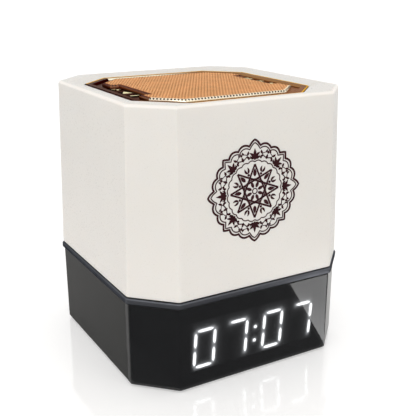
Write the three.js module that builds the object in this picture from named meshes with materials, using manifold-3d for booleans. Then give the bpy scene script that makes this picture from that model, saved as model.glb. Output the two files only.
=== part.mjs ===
// A table lamp with a built-in loudspeaker and clock, as an assembly of separate pieces.
// Millimetres, +Z up. The origin is on the table under the middle of the lamp, and the clock faces -Y.
// A milky octagonal shade stands on a black base. The shade's top carries a gilt bezel with six keys,
// a perforated grille and the loudspeaker under it. The base holds the clock, the light board,
// the main board with its sockets and switch, and the battery.
import * as THREE from "three";
import { mergeGeometries, mergeVertices } from "three/addons/utils/BufferGeometryUtils.js";
import Module from "manifold-3d";

const wasm = await Module();
wasm.setup();

// Plan of the lamp: a square with chamfered corners
const seamWidth = 105; // across the flats of the shade, where it meets the trim ring
const chamferLeg = 15.4;
const edgeEase = 2; // radius on the upright edges

// Clearances
const seat = 0.3; // between pieces that rest on each other
const slip = 0.2; // between pieces that fit into each other
const overrun = 2; // how far a cutting tool passes its work
const weld = 1e-4; // vertices closer than this are one
const leastEase = 0.05; // radius left on an edge that an inset has used up

// Feet and base
const footProud = 1; // how far the base stands off the table
const baseHeight = 36.2;
const baseInset = 0.4; // how far the base wall stands inside the shade's plan
const baseDraft = 0.2;
const baseWall = 2.4;
const baseBevel = 0.5;
const deckThickness = 2.4;

// Clock window, a smoked panel that wraps round the front
const windowThickness = 2;
const windowWrap = 3; // how far it turns on to each side face
const windowBevel = 0.3;
const windowBacking = 2; // wall of the base behind the window

// Trim ring between base and shade
const ringHeight = 2.5;
const ringProud = 0.55; // past the shade's plan
const ringDepth = 3.7; // from its outer face to its bore
const ringBevel = 0.5;

// Shade
const shadeSeam = 0.4; // shadow gap above the trim ring
const shadeHeight = 75; // up to the foot of the dish in its top
const shadeDish = 1.4; // from the dish's foot up to the rim round it
const shadeRimWidth = 1;
const shadeLean = 2.2; // how far each wall leans in over its height
const shadeWall = 2.4;
const shadeTopEase = 1.5;
const shadeInnerEase = 0.6;
const skirtDrop = 2.3;
const skirtWall = 1.6;
const skirtRise = 1;
const shadeBossRadius = 3;

// Bezel, let into the shade's top
const bezelShare = 0.793; // of the lamp's width
const bezelLeg = 14.8;
const bezelRecess = 1.1; // of its seat, under the shade's top
const bezelEase = 1;
const bezelLipWidth = 1.3;
const bezelLipHeight = 0.5;
const bezelBevel = 0.35;
const bezelSlopeWidth = 3;
const bezelSlopeDrop = 1.2;
const bezelFlange = 2.1; // overlap on to the shade
const bezelLedgeWidth = 2.6;
const bezelLedgeDrop = 0.6; // of the grille's seat, under the foot of the slope
const bezelLedgeThickness = 1.2;
const hookWidth = 8;
const hookReach = 0.9;
const hookHeight = 0.9;

// Keys, three on each side of the grille
const keysPerSide = 3;
const keyPitch = 9.6;
const keyWidth = 5.6; // along X
const keyLength = 7.6; // along Y
const keyInset = 3.6; // of a key's middle, from the foot of the bezel's slope
const keyTravel = 0.5;
const keyProud = 0.9; // above the key plate
const keyFlangeWidth = 0.7;
const keyFlangeThickness = 0.8;
const keyBevel = 0.5;
const keyRest = 0.05; // free play on top of the travel
const keyPlateThickness = 1.3;
const keyPlateDrop = 0.1; // under the foot of the bezel's slope

// Key boards with their tact switches
const keyBoardThickness = 0.8;
const keyBoardWidth = 9;
const keyBoardMargin = 2.2;
const tactSize = 4.5;
const tactHeight = 1.2;
const tactPlungerRadius = 1.2;
const tactPlungerHeight = 0.5;

// Perforated grille, a shallow pressed tray
const grilleSheet = 0.5;
const grilleProud = 0.9; // above the bezel's lip
const grilleEase = 1;
const grilleHolePitch = 5.2;
const grilleHoleRadius = 1.7;
const grilleHoleMargin = 1.1;

// Loudspeaker housing, hung under the shade's top
const housingMargin = 3; // between the plate and the shade's wall
const housingPlate = 2;
const housingDrop = 6.2; // from the underside of the shade's top to the plate
const housingCupDepth = 27;
const housingWall = 1.7;
const housingFloor = 1.8;
const driverBossRadius = 2.3;
const driverBossHeight = 5;
const keyPedestalHeight = 2.2;

// Loudspeaker
const driverShare = 0.838; // of the room between the key boards
const driverFlange = 4.7;
const driverSheet = 1;
const driverDepth = 15;
const driverBackShare = 0.606; // of the throat's radius
const driverWindowWidth = 7;
const driverScrewInset = 2.2; // from the driver's rim
const gasketThickness = 0.8;
const surroundShare = 0.152; // of the throat's radius
const surroundHeight = 1.4;
const surroundSheet = 0.6;
const coneSheet = 0.6;
const coneDepth = 6;
const coneNeckShare = 0.354; // of the throat's radius
const coilLength = 12;
const coilSheet = 0.5;
const magnetShare = 0.707; // of the throat's radius
const magnetHeight = 8;
const magnetGap = 1.1;

// Screws
const screwHeadRadius = 2.3;
const screwHeadHeight = 1.3;
const screwShankRadius = 1.1;
const screwRecessRadius = 0.7;
const screwRecessDepth = 0.5;
const pilotClearance = 0.1;
const shankClearance = 0.3;
const housingScrewLength = 8;
const driverScrewLength = 5.5;
const baseScrewLength = 9;
const lightScrewLength = 3.5;
const clockScrewLength = 5;
const boardScrewLength = 5;

// Light board on the deck
const lightBoardMargin = 21.5; // from the lamp's plan in to the board's edge
const lightBoardThickness = 1.2;
const lightChipSize = 3.5;
const lightChipHeight = 1;
const lightInset = 7; // of the outer ring of chips, from the board's edge
const lightCount = 12;
const lightInnerCircle = 10;
const lightInnerCount = 4;
const lightScrewInset = 7; // of the screws, from the outer ring of chips

// Clock module and its board
const digitCount = 4;
const digitHeightShare = 0.8; // of the clock block's height
const digitWidthShare = 0.675; // of the pitch between two digits
const digitStroke = 1.6;
const digitMargin = 1.05; // from the digits to the ends of the block
const colonRoom = 2.2; // extra pitch in the middle
const digitSlantShare = 0.075; // sideways lean, as a share of height
const digitRaise = 0.3;
const segmentGap = 0.35;
const colonSpread = 6.2;
const clockBlockInset = 6.1; // of the block's ends from the front's upright edges
const clockBlockDepth = 6;
const clockBoardMargin = 2.6; // past the middle of each screw
const clockBoardRim = 1.5; // past the block, above and below
const clockBoardThickness = 1.2;
const clockCoverGap = 1.7; // between the clock board and the bottom cover
const clockDeckGap = 4.6; // between the clock board and the deck
const clockScrewGap = 3.4; // from the block's end to the middle of the screw
const clockBossRadius = 2.2;

// Bottom cover
const coverThickness = 2.2;
const coverRecess = 0.3;
const coverBossRadius = 3.6;
const coverBossInset = 8.2; // of a boss's middle, from the inside of the chamfer
const counterboreRadius = 2.8;
const counterboreDepth = 1.5;
const footRadius = 5;
const footRecess = 0.7;
const footScrewGap = 8; // between a foot's middle and the screw beside it, along X and along Y
const footEase = 0.5;

// Battery and the saddles that hold it
const cellRadius = 9.1;
const cellLength = 65;
const cellGap = 11.1; // between the clock board and the cell
const cellCapRadius = 3;
const cellCapHeight = 1;
const cellEase = 0.8;
const saddleThickness = 2.4;
const saddleSpread = 22;
const saddleHeight = 8;

// Main board with its sockets and switch, at the rear wall
const boardCornerGap = 3.9; // from the board's rear corners to the chamfers
const boardLength = 38;
const boardThickness = 1.6;
const boardLift = 7; // of the board's underside over the bottom cover
const boardWallGap = 1;
const boardPostRadius = 2.6;
const boardPostInset = 4;
const chipSize = 9;
const chipHeight = 1.4;
const usbWidth = 8.9;
const usbHeight = 3.3;
const usbDepth = 7;
const usbSheet = 0.4;
const usbX = -17;
const usbTongueThickness = 0.7;
const usbTongueShare = 0.7; // of the shell's width
const cardWidth = 14;
const cardHeight = 2;
const cardDepth = 14.5;
const cardSlotWidth = 11.4;
const cardSlotHeight = 1;
const cardX = 0;
const switchWidth = 9;
const switchHeight = 3.6;
const switchDepth = 4;
const switchX = 17;
const knobWidth = 2;
const knobHeight = 1.6;
const knobTravel = 2;
const knobProud = 0.5; // past the base wall
const knobFlange = 0.8;
const knobFlangeDepth = 1;
const plugRelief = 0.8; // free width round a plug in the rear wall

// Lead from the loudspeaker down to the main board
const leadRadius = 1.2;
const leadSides = 8;
const leadSteps = 24;
const leadHoleRadius = 2;
const leadExitInset = 6.8; // of the hole in the cup's floor, from the cup's wall
const leadDropGap = 6; // between the light board and the hole in the deck

// Facets
const easeSteps = 2;
const turnSteps = 20;
const smallTurnSteps = 10;
const footTurnSteps = 24;
const screwTurnSteps = 8;

// Heights over the table, and other sizes worked out from those above
const half = seamWidth / 2;
const plan = { half, leg: chamferLeg, ease: edgeEase, steps: easeSteps };
const innerPlan = { ...plan, steps: 1 }; // for outlines so far in that no rounding is left
const bezelWidth = seamWidth * bezelShare;
const bezelPlan = { half: bezelWidth / 2, leg: bezelLeg, ease: bezelEase, steps: easeSteps };
const deckTop = footProud + baseHeight;
const deckUnder = deckTop - deckThickness;
const ringBottom = deckTop + seat;
const ringTop = ringBottom + ringHeight;
const shadeBottom = ringTop + shadeSeam;
const shadeTop = shadeBottom + shadeHeight;
const ringBore = ringDepth - ringProud;
const skirtInset = ringBore + slip;
const shadeRim = shadeTop + shadeDish;
const topUnder = shadeTop - shadeWall;
const housingTop = topUnder - housingDrop;
const openingInset = bezelFlange - slip;

// Where a chamfer's middle lies, along X and along Y, on an outline drawn inwards by an inset
const chamferReach = (inset) => half - chamferLeg / 2 - inset * Math.SQRT1_2;
const openingReach = bezelWidth / 2 - bezelLeg / 2 - openingInset * Math.SQRT1_2;
const shadeBossSpread = (openingReach + chamferReach(shadeLean + shadeWall)) / 2;
const housingInset = shadeLean + shadeWall + housingMargin;

const bezelBottom = shadeTop - bezelRecess + slip;
const lipTop = bezelBottom + bezelLipHeight;
const slopeFoot = lipTop - bezelSlopeDrop;
const slopeInset = bezelLipWidth + bezelSlopeWidth;
const ledgeTop = slopeFoot - bezelLedgeDrop;
const ledgeInset = slopeInset + bezelLedgeWidth;
const ledgeUnder = ledgeTop - bezelLedgeThickness;
const keyRow = bezelWidth / 2 - slopeInset - keyInset;
const grilleNotchInset = keyRow - keyWidth / 2 - keyFlangeWidth - slip;
const grilleInset = slopeInset + slip;
const grilleBottom = ledgeTop + slip;
const grilleTop = lipTop + grilleProud;

const keyPlateTop = slopeFoot - keyPlateDrop;
const keyPlateUnder = keyPlateTop - keyPlateThickness;
const keyFlangeTop = keyPlateUnder - slip;
const keyFlangeUnder = keyFlangeTop - keyFlangeThickness;
const keyPlateReach = (keysPerSide * keyPitch) / 2 + slip;
const grilleNotchReach = keyPlateReach + slip;
const keyBoardTop = keyFlangeUnder - keyTravel - keyRest - tactPlungerHeight - tactHeight;
const keyBoardUnder = keyBoardTop - keyBoardThickness;
const keyPedestalTop = keyBoardUnder - slip;

const driverRadius = (keyRow - keyBoardWidth / 2) * driverShare;
const driverThroat = driverRadius - driverFlange;
const driverScrewCircle = driverRadius - driverScrewInset;
const driverBackRadius = driverThroat * driverBackShare;
const coneNeckRadius = driverThroat * coneNeckShare;
const surroundWidth = driverThroat * surroundShare;
const coneRim = driverThroat - driverSheet - surroundWidth; // where the roll begins
const magnetRadius = driverThroat * magnetShare;
const cupInner = driverThroat + driverSheet;
const cupBottom = housingTop - housingPlate - housingCupDepth;
const gasketBottom = housingTop + slip;
const driverUnder = gasketBottom + gasketThickness + slip;
const driverTop = driverUnder + driverSheet;

const windowInset = baseInset + windowThickness;
const recessInset = windowInset + slip;
const backingInset = recessInset + windowBacking;
const wrapY = -(half - chamferLeg) + windowWrap;
const coverBottom = footProud + coverRecess;
const coverTop = coverBottom + coverThickness;
const bossBottom = coverTop + slip;
const boardUnder = coverTop + boardLift;
const boardTop = boardUnder + boardThickness;
const rearInner = half - baseInset - baseWall;
const rearOuter = half - baseInset;
const switchRear = rearInner - slip;
const boardRear = rearInner - boardWallGap;
const boardMiddleY = boardRear - boardLength / 2;
const boardWidth = 2 * (2 * chamferReach(baseInset + baseWall) - boardRear - boardCornerGap);
const coverScrewSpread = chamferReach(baseInset + baseWall + coverBossInset);
const footSpread = coverScrewSpread - footScrewGap;

const clockFace = -half + windowInset + slip + digitRaise;
const clockBoardHeight = deckUnder - clockDeckGap - clockCoverGap - coverTop;
const clockBlockHeight = clockBoardHeight - 2 * clockBoardRim;
const digitHeight = clockBlockHeight * digitHeightShare;
const digitMiddle = coverTop + clockCoverGap + clockBoardHeight / 2; // height over the table
const clockBlockWidth = 2 * (half - chamferLeg - clockBlockInset);
const clockPitchRoom = clockBlockWidth - 2 * digitMargin - colonRoom;
const digitPitch = clockPitchRoom / (digitCount - 1 + digitWidthShare);
const digitWidth = digitPitch * digitWidthShare;
const digitPairSpread = 2 * digitPitch + colonRoom; // between the middles of the two pairs
const clockScrewSpread = clockBlockWidth / 2 + clockScrewGap;
const clockBoardWidth = 2 * (clockScrewSpread + clockBoardMargin);
const clockBoardFront = clockFace + clockBlockDepth + slip;
const clockBoardBack = clockBoardFront + clockBoardThickness;
const clockBossFront = -half + backingInset - slip; // sunk a little into the wall behind the window
const clockBossBack = clockBoardFront - slip;
const cellMiddleY = clockBoardBack + cellGap + cellRadius;
const cellMiddleZ = coverTop + seat + cellRadius;

const lightBoardRadius = half - lightBoardMargin;
const lightCircle = lightBoardRadius - lightInset;
const lightScrewSpread = lightCircle - lightScrewInset;
const leadExitY = cupInner - leadExitInset;
const leadDropY = lightBoardRadius + leadHoleRadius + leadDropGap;

// A point at a distance from the middle, turned round the Z axis
function polar(radius, angle) {
  return [radius * Math.cos(angle), radius * Math.sin(angle)];
}

// The plan's outline, drawn inwards by an inset, with each corner eased by an arc
function octagonOutline({ half: reach, leg, ease, steps }, inset) {
  const radius = Math.max(ease - inset, leastEase);
  const near = reach - inset - radius;
  const shorterLeg = leg - inset * (2 - Math.SQRT2);
  const far = reach - inset - shorterLeg - radius * Math.tan(Math.PI / 8);
  const points = [];
  for (let quarter = 0; quarter < 4; quarter++) {
    const turn = (quarter * Math.PI) / 2;
    [[near, far], [far, near]].forEach(([x, y], corner) => {
      for (let step = 0; step <= steps; step++) {
        const angle = ((corner + step / steps) * Math.PI) / 4;
        const point = new THREE.Vector2(x + radius * Math.cos(angle), y + radius * Math.sin(angle));
        points.push(point.rotateAround(new THREE.Vector2(), turn));
      }
    });
  }
  return points;
}

// Turns a closed surface's faces round if they point inwards
function facingOut(geometry) {
  const p = geometry.attributes.position;
  const index = geometry.index;
  const [a, b, c] = [new THREE.Vector3(), new THREE.Vector3(), new THREE.Vector3()];
  let volume = 0;
  for (let i = 0; i < index.count; i += 3) {
    a.fromBufferAttribute(p, index.getX(i));
    b.fromBufferAttribute(p, index.getX(i + 1));
    c.fromBufferAttribute(p, index.getX(i + 2));
    volume += a.dot(b.cross(c));
  }
  if (volume < 0) {
    for (let i = 0; i < index.count; i += 3) {
      const first = index.getX(i);
      index.setX(i, index.getX(i + 1));
      index.setX(i + 1, first);
    }
  }
  return geometry;
}

// Sweeps a profile of [inset, z] points round an octagonal plan. A closed profile makes a frame.
// An open one makes a body whose first and last outlines are filled in.
function octagonSweep(shape, profile, closed) {
  const rings = profile.map(([inset, z]) => octagonOutline(shape, inset).map((p) => [p.x, p.y, z]));
  const count = rings[0].length;
  const vertices = rings.flat();
  const faces = [];
  const bands = closed ? rings.length : rings.length - 1;
  for (let band = 0; band < bands; band++) {
    const from = band * count;
    const to = ((band + 1) % rings.length) * count;
    for (let i = 0; i < count; i++) {
      const next = (i + 1) % count;
      faces.push([from + i, from + next, to + next], [from + i, to + next, to + i]);
    }
  }
  if (!closed) {
    const last = (rings.length - 1) * count;
    for (let i = 1; i < count - 1; i++) {
      faces.push([0, i + 1, i], [last, last + i, last + i + 1]);
    }
  }
  const geometry = new THREE.BufferGeometry();
  geometry.setAttribute("position", new THREE.Float32BufferAttribute(vertices.flat(), 3));
  geometry.setIndex(faces.flat());
  return facingOut(geometry);
}

const octagonFrame = (shape, profile) => octagonSweep(shape, profile, true);
const octagonBody = (shape, profile) => octagonSweep(shape, profile, false);

// A straight prism on an octagonal plan, from one height to another
const octagonPrism = (shape, inset, bottom, top) => octagonBody(shape, [[inset, bottom], [inset, top]]);

// A box standing on z = bottom, round the middle (x, y)
function block(width, length, height, x, y, bottom) {
  return new THREE.BoxGeometry(width, length, height).translate(x, y, bottom + height / 2);
}

// An upright cylinder standing on z = bottom
function rod(radius, height, x, y, bottom, sides = smallTurnSteps) {
  const upright = new THREE.CylinderGeometry(radius, radius, height, sides).rotateX(Math.PI / 2);
  return upright.translate(x, y, bottom + height / 2);
}

// A cylinder lying along Y, from one y to another
function crossRod(radius, fromY, toY, x, z, sides = smallTurnSteps) {
  const length = toY - fromY;
  return new THREE.CylinderGeometry(radius, radius, length, sides).translate(x, fromY + length / 2, z);
}

// A profile of [radius, z] points turned round the Z axis
function turned(profile, sides = turnSteps) {
  const points = profile.map(([radius, z]) => new THREE.Vector2(radius, z));
  return bare(new THREE.LatheGeometry(points, sides).rotateX(Math.PI / 2));
}

// The surface alone, with shared vertices merged and its faces pointing out
function bare(geometry) {
  const copy = geometry.clone();
  copy.deleteAttribute("normal");
  copy.deleteAttribute("uv");
  return facingOut(mergeVertices(copy, weld));
}

function solidOf(geometry) {
  const merged = bare(geometry);
  return new wasm.Manifold(
    new wasm.Mesh({
      numProp: 3,
      vertProperties: merged.attributes.position.array,
      triVerts: new Uint32Array(merged.index.array),
    }),
  );
}

function geometryOf(solid) {
  const mesh = solid.getMesh();
  const geometry = new THREE.BufferGeometry();
  geometry.setAttribute("position", new THREE.BufferAttribute(mesh.vertProperties, 3));
  geometry.setIndex(new THREE.BufferAttribute(mesh.triVerts, 1));
  return geometry;
}

const join = (...pieces) => geometryOf(pieces.map(solidOf).reduce((whole, piece) => whole.add(piece)));
const cut = (body, ...tools) =>
  geometryOf(tools.map(solidOf).reduce((left, tool) => left.subtract(tool), solidOf(body)));
const common = (body, limit) => geometryOf(solidOf(body).intersect(solidOf(limit)));

// The four places at plus and minus a distance along X and Y
const fourCorners = (spread) => [-1, 1].flatMap((x) => [-1, 1].map((y) => [x * spread, y * spread]));

// Everything in front of a given y, as a limit for pieces that wrap round the front
function frontOf(y) {
  const size = seamWidth + overrun;
  const length = size / 2 + y;
  return block(size, length, shadeTop + overrun, 0, y - length / 2, -overrun);
}

// Shade: a leaning octagonal cap, dished on top round the bezel's recess, with a skirt inside the trim ring
function shadeGeometry() {
  const lean = (z) => (shadeLean * (z - shadeBottom)) / shadeHeight;
  const shoulder = shadeRim - shadeTopEase;
  const outerArc = [2, 1, 0].map((step) => {
    const angle = (step * Math.PI) / 4;
    const inset = lean(shoulder) + shadeTopEase * (1 - Math.cos(angle));
    return [inset, shoulder + shadeTopEase * Math.sin(angle)];
  });
  const skirtInner = skirtInset + skirtWall;
  const skirtFoot = shadeBottom - skirtDrop;
  const skirtHead = shadeBottom + skirtRise;
  const cap = octagonBody(plan, [
    ...outerArc,
    [0, shadeBottom],
    [skirtInset, shadeBottom],
    [skirtInset, skirtFoot],
    [skirtInner, skirtFoot],
    [skirtInner, skirtHead],
    [lean(skirtHead) + shadeWall, skirtHead + skirtWall],
    [lean(topUnder) + shadeWall, topUnder - shadeInnerEase],
    [lean(topUnder) + shadeWall + shadeInnerEase, topUnder],
  ]);
  const bosses = fourCorners(shadeBossSpread).map(([x, y]) =>
    rod(shadeBossRadius, housingDrop + shadeWall / 2 - seat, x, y, housingTop + seat),
  );
  const pilots = fourCorners(shadeBossSpread).map(([x, y]) =>
    rod(screwShankRadius + pilotClearance, housingDrop + overrun, x, y, housingTop - overrun),
  );
  const rimInset = lean(shadeRim) + shadeTopEase + shadeRimWidth;
  const dish = octagonBody(bezelPlan, [
    [bezelWidth / 2 - half + rimInset, shadeRim + overrun],
    [bezelWidth / 2 - half + rimInset, shadeRim],
    [-slip, shadeTop],
  ]);
  const opening = octagonPrism(bezelPlan, openingInset, topUnder - overrun, shadeTop + overrun);
  const recess = octagonPrism(bezelPlan, -slip, bezelBottom - slip, shadeTop + overrun);
  return cut(join(cap, ...bosses), dish, opening, recess, ...pilots);
}

// Trim ring, which stands a little proud of both the base and the shade
function trimRingGeometry() {
  return octagonFrame(plan, [
    [-ringProud + ringBevel, ringBottom],
    [-ringProud, ringBottom + ringBevel],
    [-ringProud, ringTop - ringBevel],
    [-ringProud + ringBevel, ringTop],
    [ringBore, ringTop],
    [ringBore, ringBottom],
  ]);
}

// The openings in the rear wall, each round the piece that shows through it
function rearOpenings() {
  const length = baseWall + 2 * overrun;
  const hole = (width, height, x, middle) =>
    block(width + plugRelief, length, height + plugRelief, x, rearOuter - baseWall / 2,
      middle - (height + plugRelief) / 2);
  const cardMiddle = boardTop + slip + cardHeight / 2;
  return [
    hole(usbWidth, usbHeight, usbX, boardTop + slip + usbHeight / 2),
    hole(cardSlotWidth, cardSlotHeight, cardX, cardMiddle),
    hole(knobWidth + knobTravel, knobHeight, switchX - knobTravel / 2, boardTop + slip + switchHeight / 2),
  ];
}

// Base housing: walls and deck in one moulding, open below, stepped back in front for the window
function baseHousingGeometry() {
  const foot = footProud;
  const shell = octagonBody(plan, [
    [baseInset, deckTop],
    [baseInset + baseDraft, foot + baseBevel],
    [baseInset + baseDraft + baseBevel, foot],
    [baseInset + baseWall, foot],
    [baseInset + baseWall, deckUnder],
  ]);
  const backing = common(
    octagonFrame(innerPlan, [
      [windowInset, foot + coverRecess],
      [backingInset, foot + coverRecess],
      [backingInset, deckUnder + deckThickness / 2],
      [windowInset, deckUnder + deckThickness / 2],
    ]),
    frontOf(wrapY + baseWall),
  );
  const recess = common(
    octagonFrame(innerPlan, [
      [-overrun, foot - overrun],
      [recessInset, foot - overrun],
      [recessInset, deckTop + overrun],
      [-overrun, deckTop + overrun],
    ]),
    frontOf(wrapY + slip),
  );
  const bosses = fourCorners(coverScrewSpread).map(([x, y]) =>
    rod(coverBossRadius, deckUnder + deckThickness / 2 - bossBottom, x, y, bossBottom),
  );
  const pilots = fourCorners(coverScrewSpread).map(([x, y]) =>
    rod(screwShankRadius + pilotClearance, baseScrewLength + overrun, x, y, bossBottom - overrun),
  );
  const clockBosses = [-1, 1].map((side) =>
    crossRod(clockBossRadius, clockBossFront, clockBossBack, side * clockScrewSpread, digitMiddle),
  );
  const clockPilots = [-1, 1].map((side) =>
    crossRod(screwShankRadius + pilotClearance, -half + recessInset + slip, clockBossBack + overrun,
      side * clockScrewSpread, digitMiddle),
  );
  const clockOpening = block(clockBlockWidth + 2 * slip, 2 * windowBacking + overrun,
    clockBlockHeight + 2 * slip, 0, -half + recessInset + windowBacking,
    digitMiddle - clockBlockHeight / 2 - slip);
  const lightPilots = [-1, 1].map((side) =>
    rod(screwShankRadius + pilotClearance, deckThickness + 2 * overrun, side * lightScrewSpread, 0,
      deckUnder - overrun),
  );
  const leadHole = rod(leadHoleRadius, deckThickness + 2 * overrun, 0, leadDropY, deckUnder - overrun);
  return cut(join(shell, backing, ...bosses, ...clockBosses), recess, clockOpening, leadHole,
    ...pilots, ...clockPilots, ...lightPilots, ...rearOpenings());
}

// Smoked window, one piece bent round the front and both front chamfers
function windowGeometry() {
  const foot = footProud;
  const strip = octagonFrame(plan, [
    [baseInset + windowBevel, deckTop],
    [baseInset, deckTop - windowBevel],
    [baseInset + baseDraft, foot + windowBevel],
    [baseInset + baseDraft + windowBevel, foot],
    [windowInset, foot],
    [windowInset, deckTop],
  ]);
  return common(strip, frontOf(wrapY));
}

// One lit bar of a digit: a long hexagon, upright or lying, on the module's face
function segmentOutline(length, stroke) {
  const tip = stroke / 2;
  const reach = length / 2;
  return new THREE.Shape([
    new THREE.Vector2(-reach, 0),
    new THREE.Vector2(-reach + tip, -tip),
    new THREE.Vector2(reach - tip, -tip),
    new THREE.Vector2(reach, 0),
    new THREE.Vector2(reach - tip, tip),
    new THREE.Vector2(-reach + tip, tip),
  ]);
}

// The places of a digit's seven bars: middle along X, middle along Z, and whether it stands upright
function digitBars() {
  const side = (digitWidth - digitStroke) / 2;
  const storey = (digitHeight - digitStroke) / 2;
  const levels = [-1, 0, 1].map((level) => [0, level * storey, false]);
  const uprights = [-1, 1].flatMap((x) => [-1, 1].map((z) => [x * side, (z * storey) / 2, true]));
  return [...levels, ...uprights];
}

// Clock module: a dark block whose bars and colon stand out of its face
function clockModuleGeometry() {
  const body = block(clockBlockWidth, clockBlockDepth, clockBlockHeight, 0, clockFace + clockBlockDepth / 2,
    digitMiddle - clockBlockHeight / 2);
  const raised = (shape, x, z) => {
    const bar = new THREE.ExtrudeGeometry(shape, { depth: 2 * digitRaise, bevelEnabled: false });
    return bar.rotateX(Math.PI / 2).translate(x, clockFace + digitRaise, z);
  };
  const bars = [];
  for (const pair of [-1, 1]) {
    for (const place of [-1, 1]) {
      const middle = (pair * digitPairSpread + place * digitPitch) / 2;
      for (const [x, z, upright] of digitBars()) {
        const run = upright ? (digitHeight - digitStroke) / 2 : digitWidth - digitStroke;
        const shape = segmentOutline(run - 2 * segmentGap, digitStroke);
        const bar = new THREE.ExtrudeGeometry(shape, { depth: 2 * digitRaise, bevelEnabled: false });
        bar.rotateX(Math.PI / 2);
        if (upright) bar.rotateY(Math.PI / 2 + Math.atan(digitSlantShare));
        bars.push(bar.translate(middle + x + z * digitSlantShare, clockFace + digitRaise, digitMiddle + z));
      }
    }
  }
  const dot = new THREE.Shape().absarc(0, 0, digitStroke / 2, 0, 2 * Math.PI);
  for (const end of [-1, 1]) {
    const z = (end * colonSpread) / 2;
    bars.push(raised(new THREE.Shape(dot.getPoints(2)), z * digitSlantShare, digitMiddle + z));
  }
  return join(body, ...bars);
}

// Clock board, screwed to two bosses behind the module
function clockBoardGeometry() {
  const board = block(clockBoardWidth, clockBoardThickness, clockBoardHeight, 0,
    clockBoardFront + clockBoardThickness / 2, digitMiddle - clockBoardHeight / 2);
  const holes = [-1, 1].map((side) =>
    crossRod(screwShankRadius + shankClearance, clockBoardFront - overrun, clockBoardBack + overrun,
      side * clockScrewSpread, digitMiddle),
  );
  return cut(board, ...holes);
}

// Bezel: lip, slope and ledge round the grille, a plate with key slots on each side, hooks below
function bezelGeometry() {
  const frame = octagonFrame(bezelPlan, [
    [0, bezelBottom],
    [0, lipTop - bezelBevel],
    [bezelBevel, lipTop],
    [bezelLipWidth, lipTop],
    [slopeInset, slopeFoot],
    [slopeInset, ledgeTop],
    [ledgeInset, ledgeTop],
    [ledgeInset, ledgeUnder],
    [bezelFlange, ledgeUnder],
    [bezelFlange, bezelBottom],
  ]);
  const bezelHalf = bezelWidth / 2;
  const plateInner = grilleNotchInset + slip;
  const plateOuter = bezelHalf - slopeInset + slip;
  const sides = [-1, 1];
  const plates = sides.map((side) =>
    block(plateOuter - plateInner, 2 * keyPlateReach, keyPlateThickness,
      (side * (plateOuter + plateInner)) / 2, 0, keyPlateUnder),
  );
  const slots = keyPlaces().map(({ x, y }) =>
    block(keyWidth + 2 * slip, keyLength + 2 * slip, keyPlateThickness + 2 * overrun, x, y,
      keyPlateUnder - overrun),
  );
  // The ledge gives way to the flanges of the keys under each plate
  const flangeRooms = sides.map((side) =>
    block(keyWidth + 2 * (keyFlangeWidth + slip), 2 * keyPlateReach - 2 * slip,
      keyPlateUnder - ledgeUnder + overrun, side * keyRow, 0, ledgeUnder - overrun),
  );
  const hookOuter = bezelHalf - bezelFlange + hookReach;
  const hookInner = bezelHalf - ledgeInset;
  const hookTop = topUnder - slip;
  const hooks = sides.map((side) =>
    block(hookWidth, hookOuter - hookInner, hookHeight, 0, (side * (hookOuter + hookInner)) / 2,
      hookTop - hookHeight),
  );
  return cut(join(frame, ...plates, ...hooks), ...slots, ...flangeRooms);
}

// The six keys' places: left and right rows, front to back
function keyPlaces() {
  const rows = [["left", -1], ["right", 1]];
  const names = ["front", "middle", "back"];
  return rows.flatMap(([row, side]) =>
    names.map((name, i) => ({
      name: `key_${row}_${name}`,
      x: side * keyRow,
      y: (i - (keysPerSide - 1) / 2) * keyPitch,
    })),
  );
}

// Key: a bevelled cap with a flange that holds it under the key plate
function keyGeometry() {
  const top = keyPlateTop + keyProud - keyFlangeUnder;
  const cap = new THREE.Shape([
    new THREE.Vector2(-keyWidth / 2, -keyLength / 2),
    new THREE.Vector2(keyWidth / 2, -keyLength / 2),
    new THREE.Vector2(keyWidth / 2, keyLength / 2),
    new THREE.Vector2(-keyWidth / 2, keyLength / 2),
  ]);
  const bevelled = new THREE.ExtrudeGeometry(cap, {
    depth: top - keyBevel,
    bevelThickness: keyBevel,
    bevelSize: keyBevel,
    bevelOffset: -keyBevel,
    bevelSegments: 1,
  });
  const under = block(keyWidth + keyBevel, keyLength + keyBevel, keyBevel, 0, 0, -keyBevel);
  const flange = block(keyWidth + 2 * keyFlangeWidth, keyLength + 2 * keyFlangeWidth, keyFlangeThickness,
    0, 0, 0);
  return join(cut(bevelled, under), flange);
}

// Key board: a strip with three tact switches
function keyBoardGeometry() {
  const length = keysPerSide * keyPitch + keyBoardMargin;
  const board = block(keyBoardWidth, length, keyBoardThickness, 0, 0, 0);
  const switches = keyPlaces()
    .filter(({ x }) => x > 0)
    .flatMap(({ y }) => [
      block(tactSize, tactSize, tactHeight + keyBoardThickness / 2, 0, y, keyBoardThickness / 2),
      rod(tactPlungerRadius, tactPlungerHeight + tactHeight / 2, 0, y,
        keyBoardThickness + tactHeight / 2, smallTurnSteps / 2),
    ]);
  return join(board, ...switches);
}

// Grille: a pressed tray with rolled edges, notched at the keys and perforated
function grilleGeometry() {
  const notch = (inset, reach, top) =>
    [-1, 1].map((side) => {
      const width = bezelWidth / 2 - inset;
      return block(width, 2 * reach, top - grilleBottom + 2 * overrun, side * (inset + width / 2), 0,
        grilleBottom - overrun);
    });
  const outside = cut(
    octagonBody(bezelPlan, [
      [grilleInset, grilleBottom],
      [grilleInset, grilleTop - grilleEase],
      [grilleInset + grilleEase * (1 - Math.SQRT1_2), grilleTop - grilleEase * (1 - Math.SQRT1_2)],
      [grilleInset + grilleEase, grilleTop],
    ]),
    ...notch(grilleNotchInset, grilleNotchReach, grilleTop),
  );
  const inside = cut(
    octagonPrism(bezelPlan, grilleInset + grilleSheet, grilleBottom - overrun, grilleTop - grilleSheet),
    ...notch(grilleNotchInset - grilleSheet, grilleNotchReach + grilleSheet, grilleTop),
  );
  return cut(outside, inside, grilleHoles());
}

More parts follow.
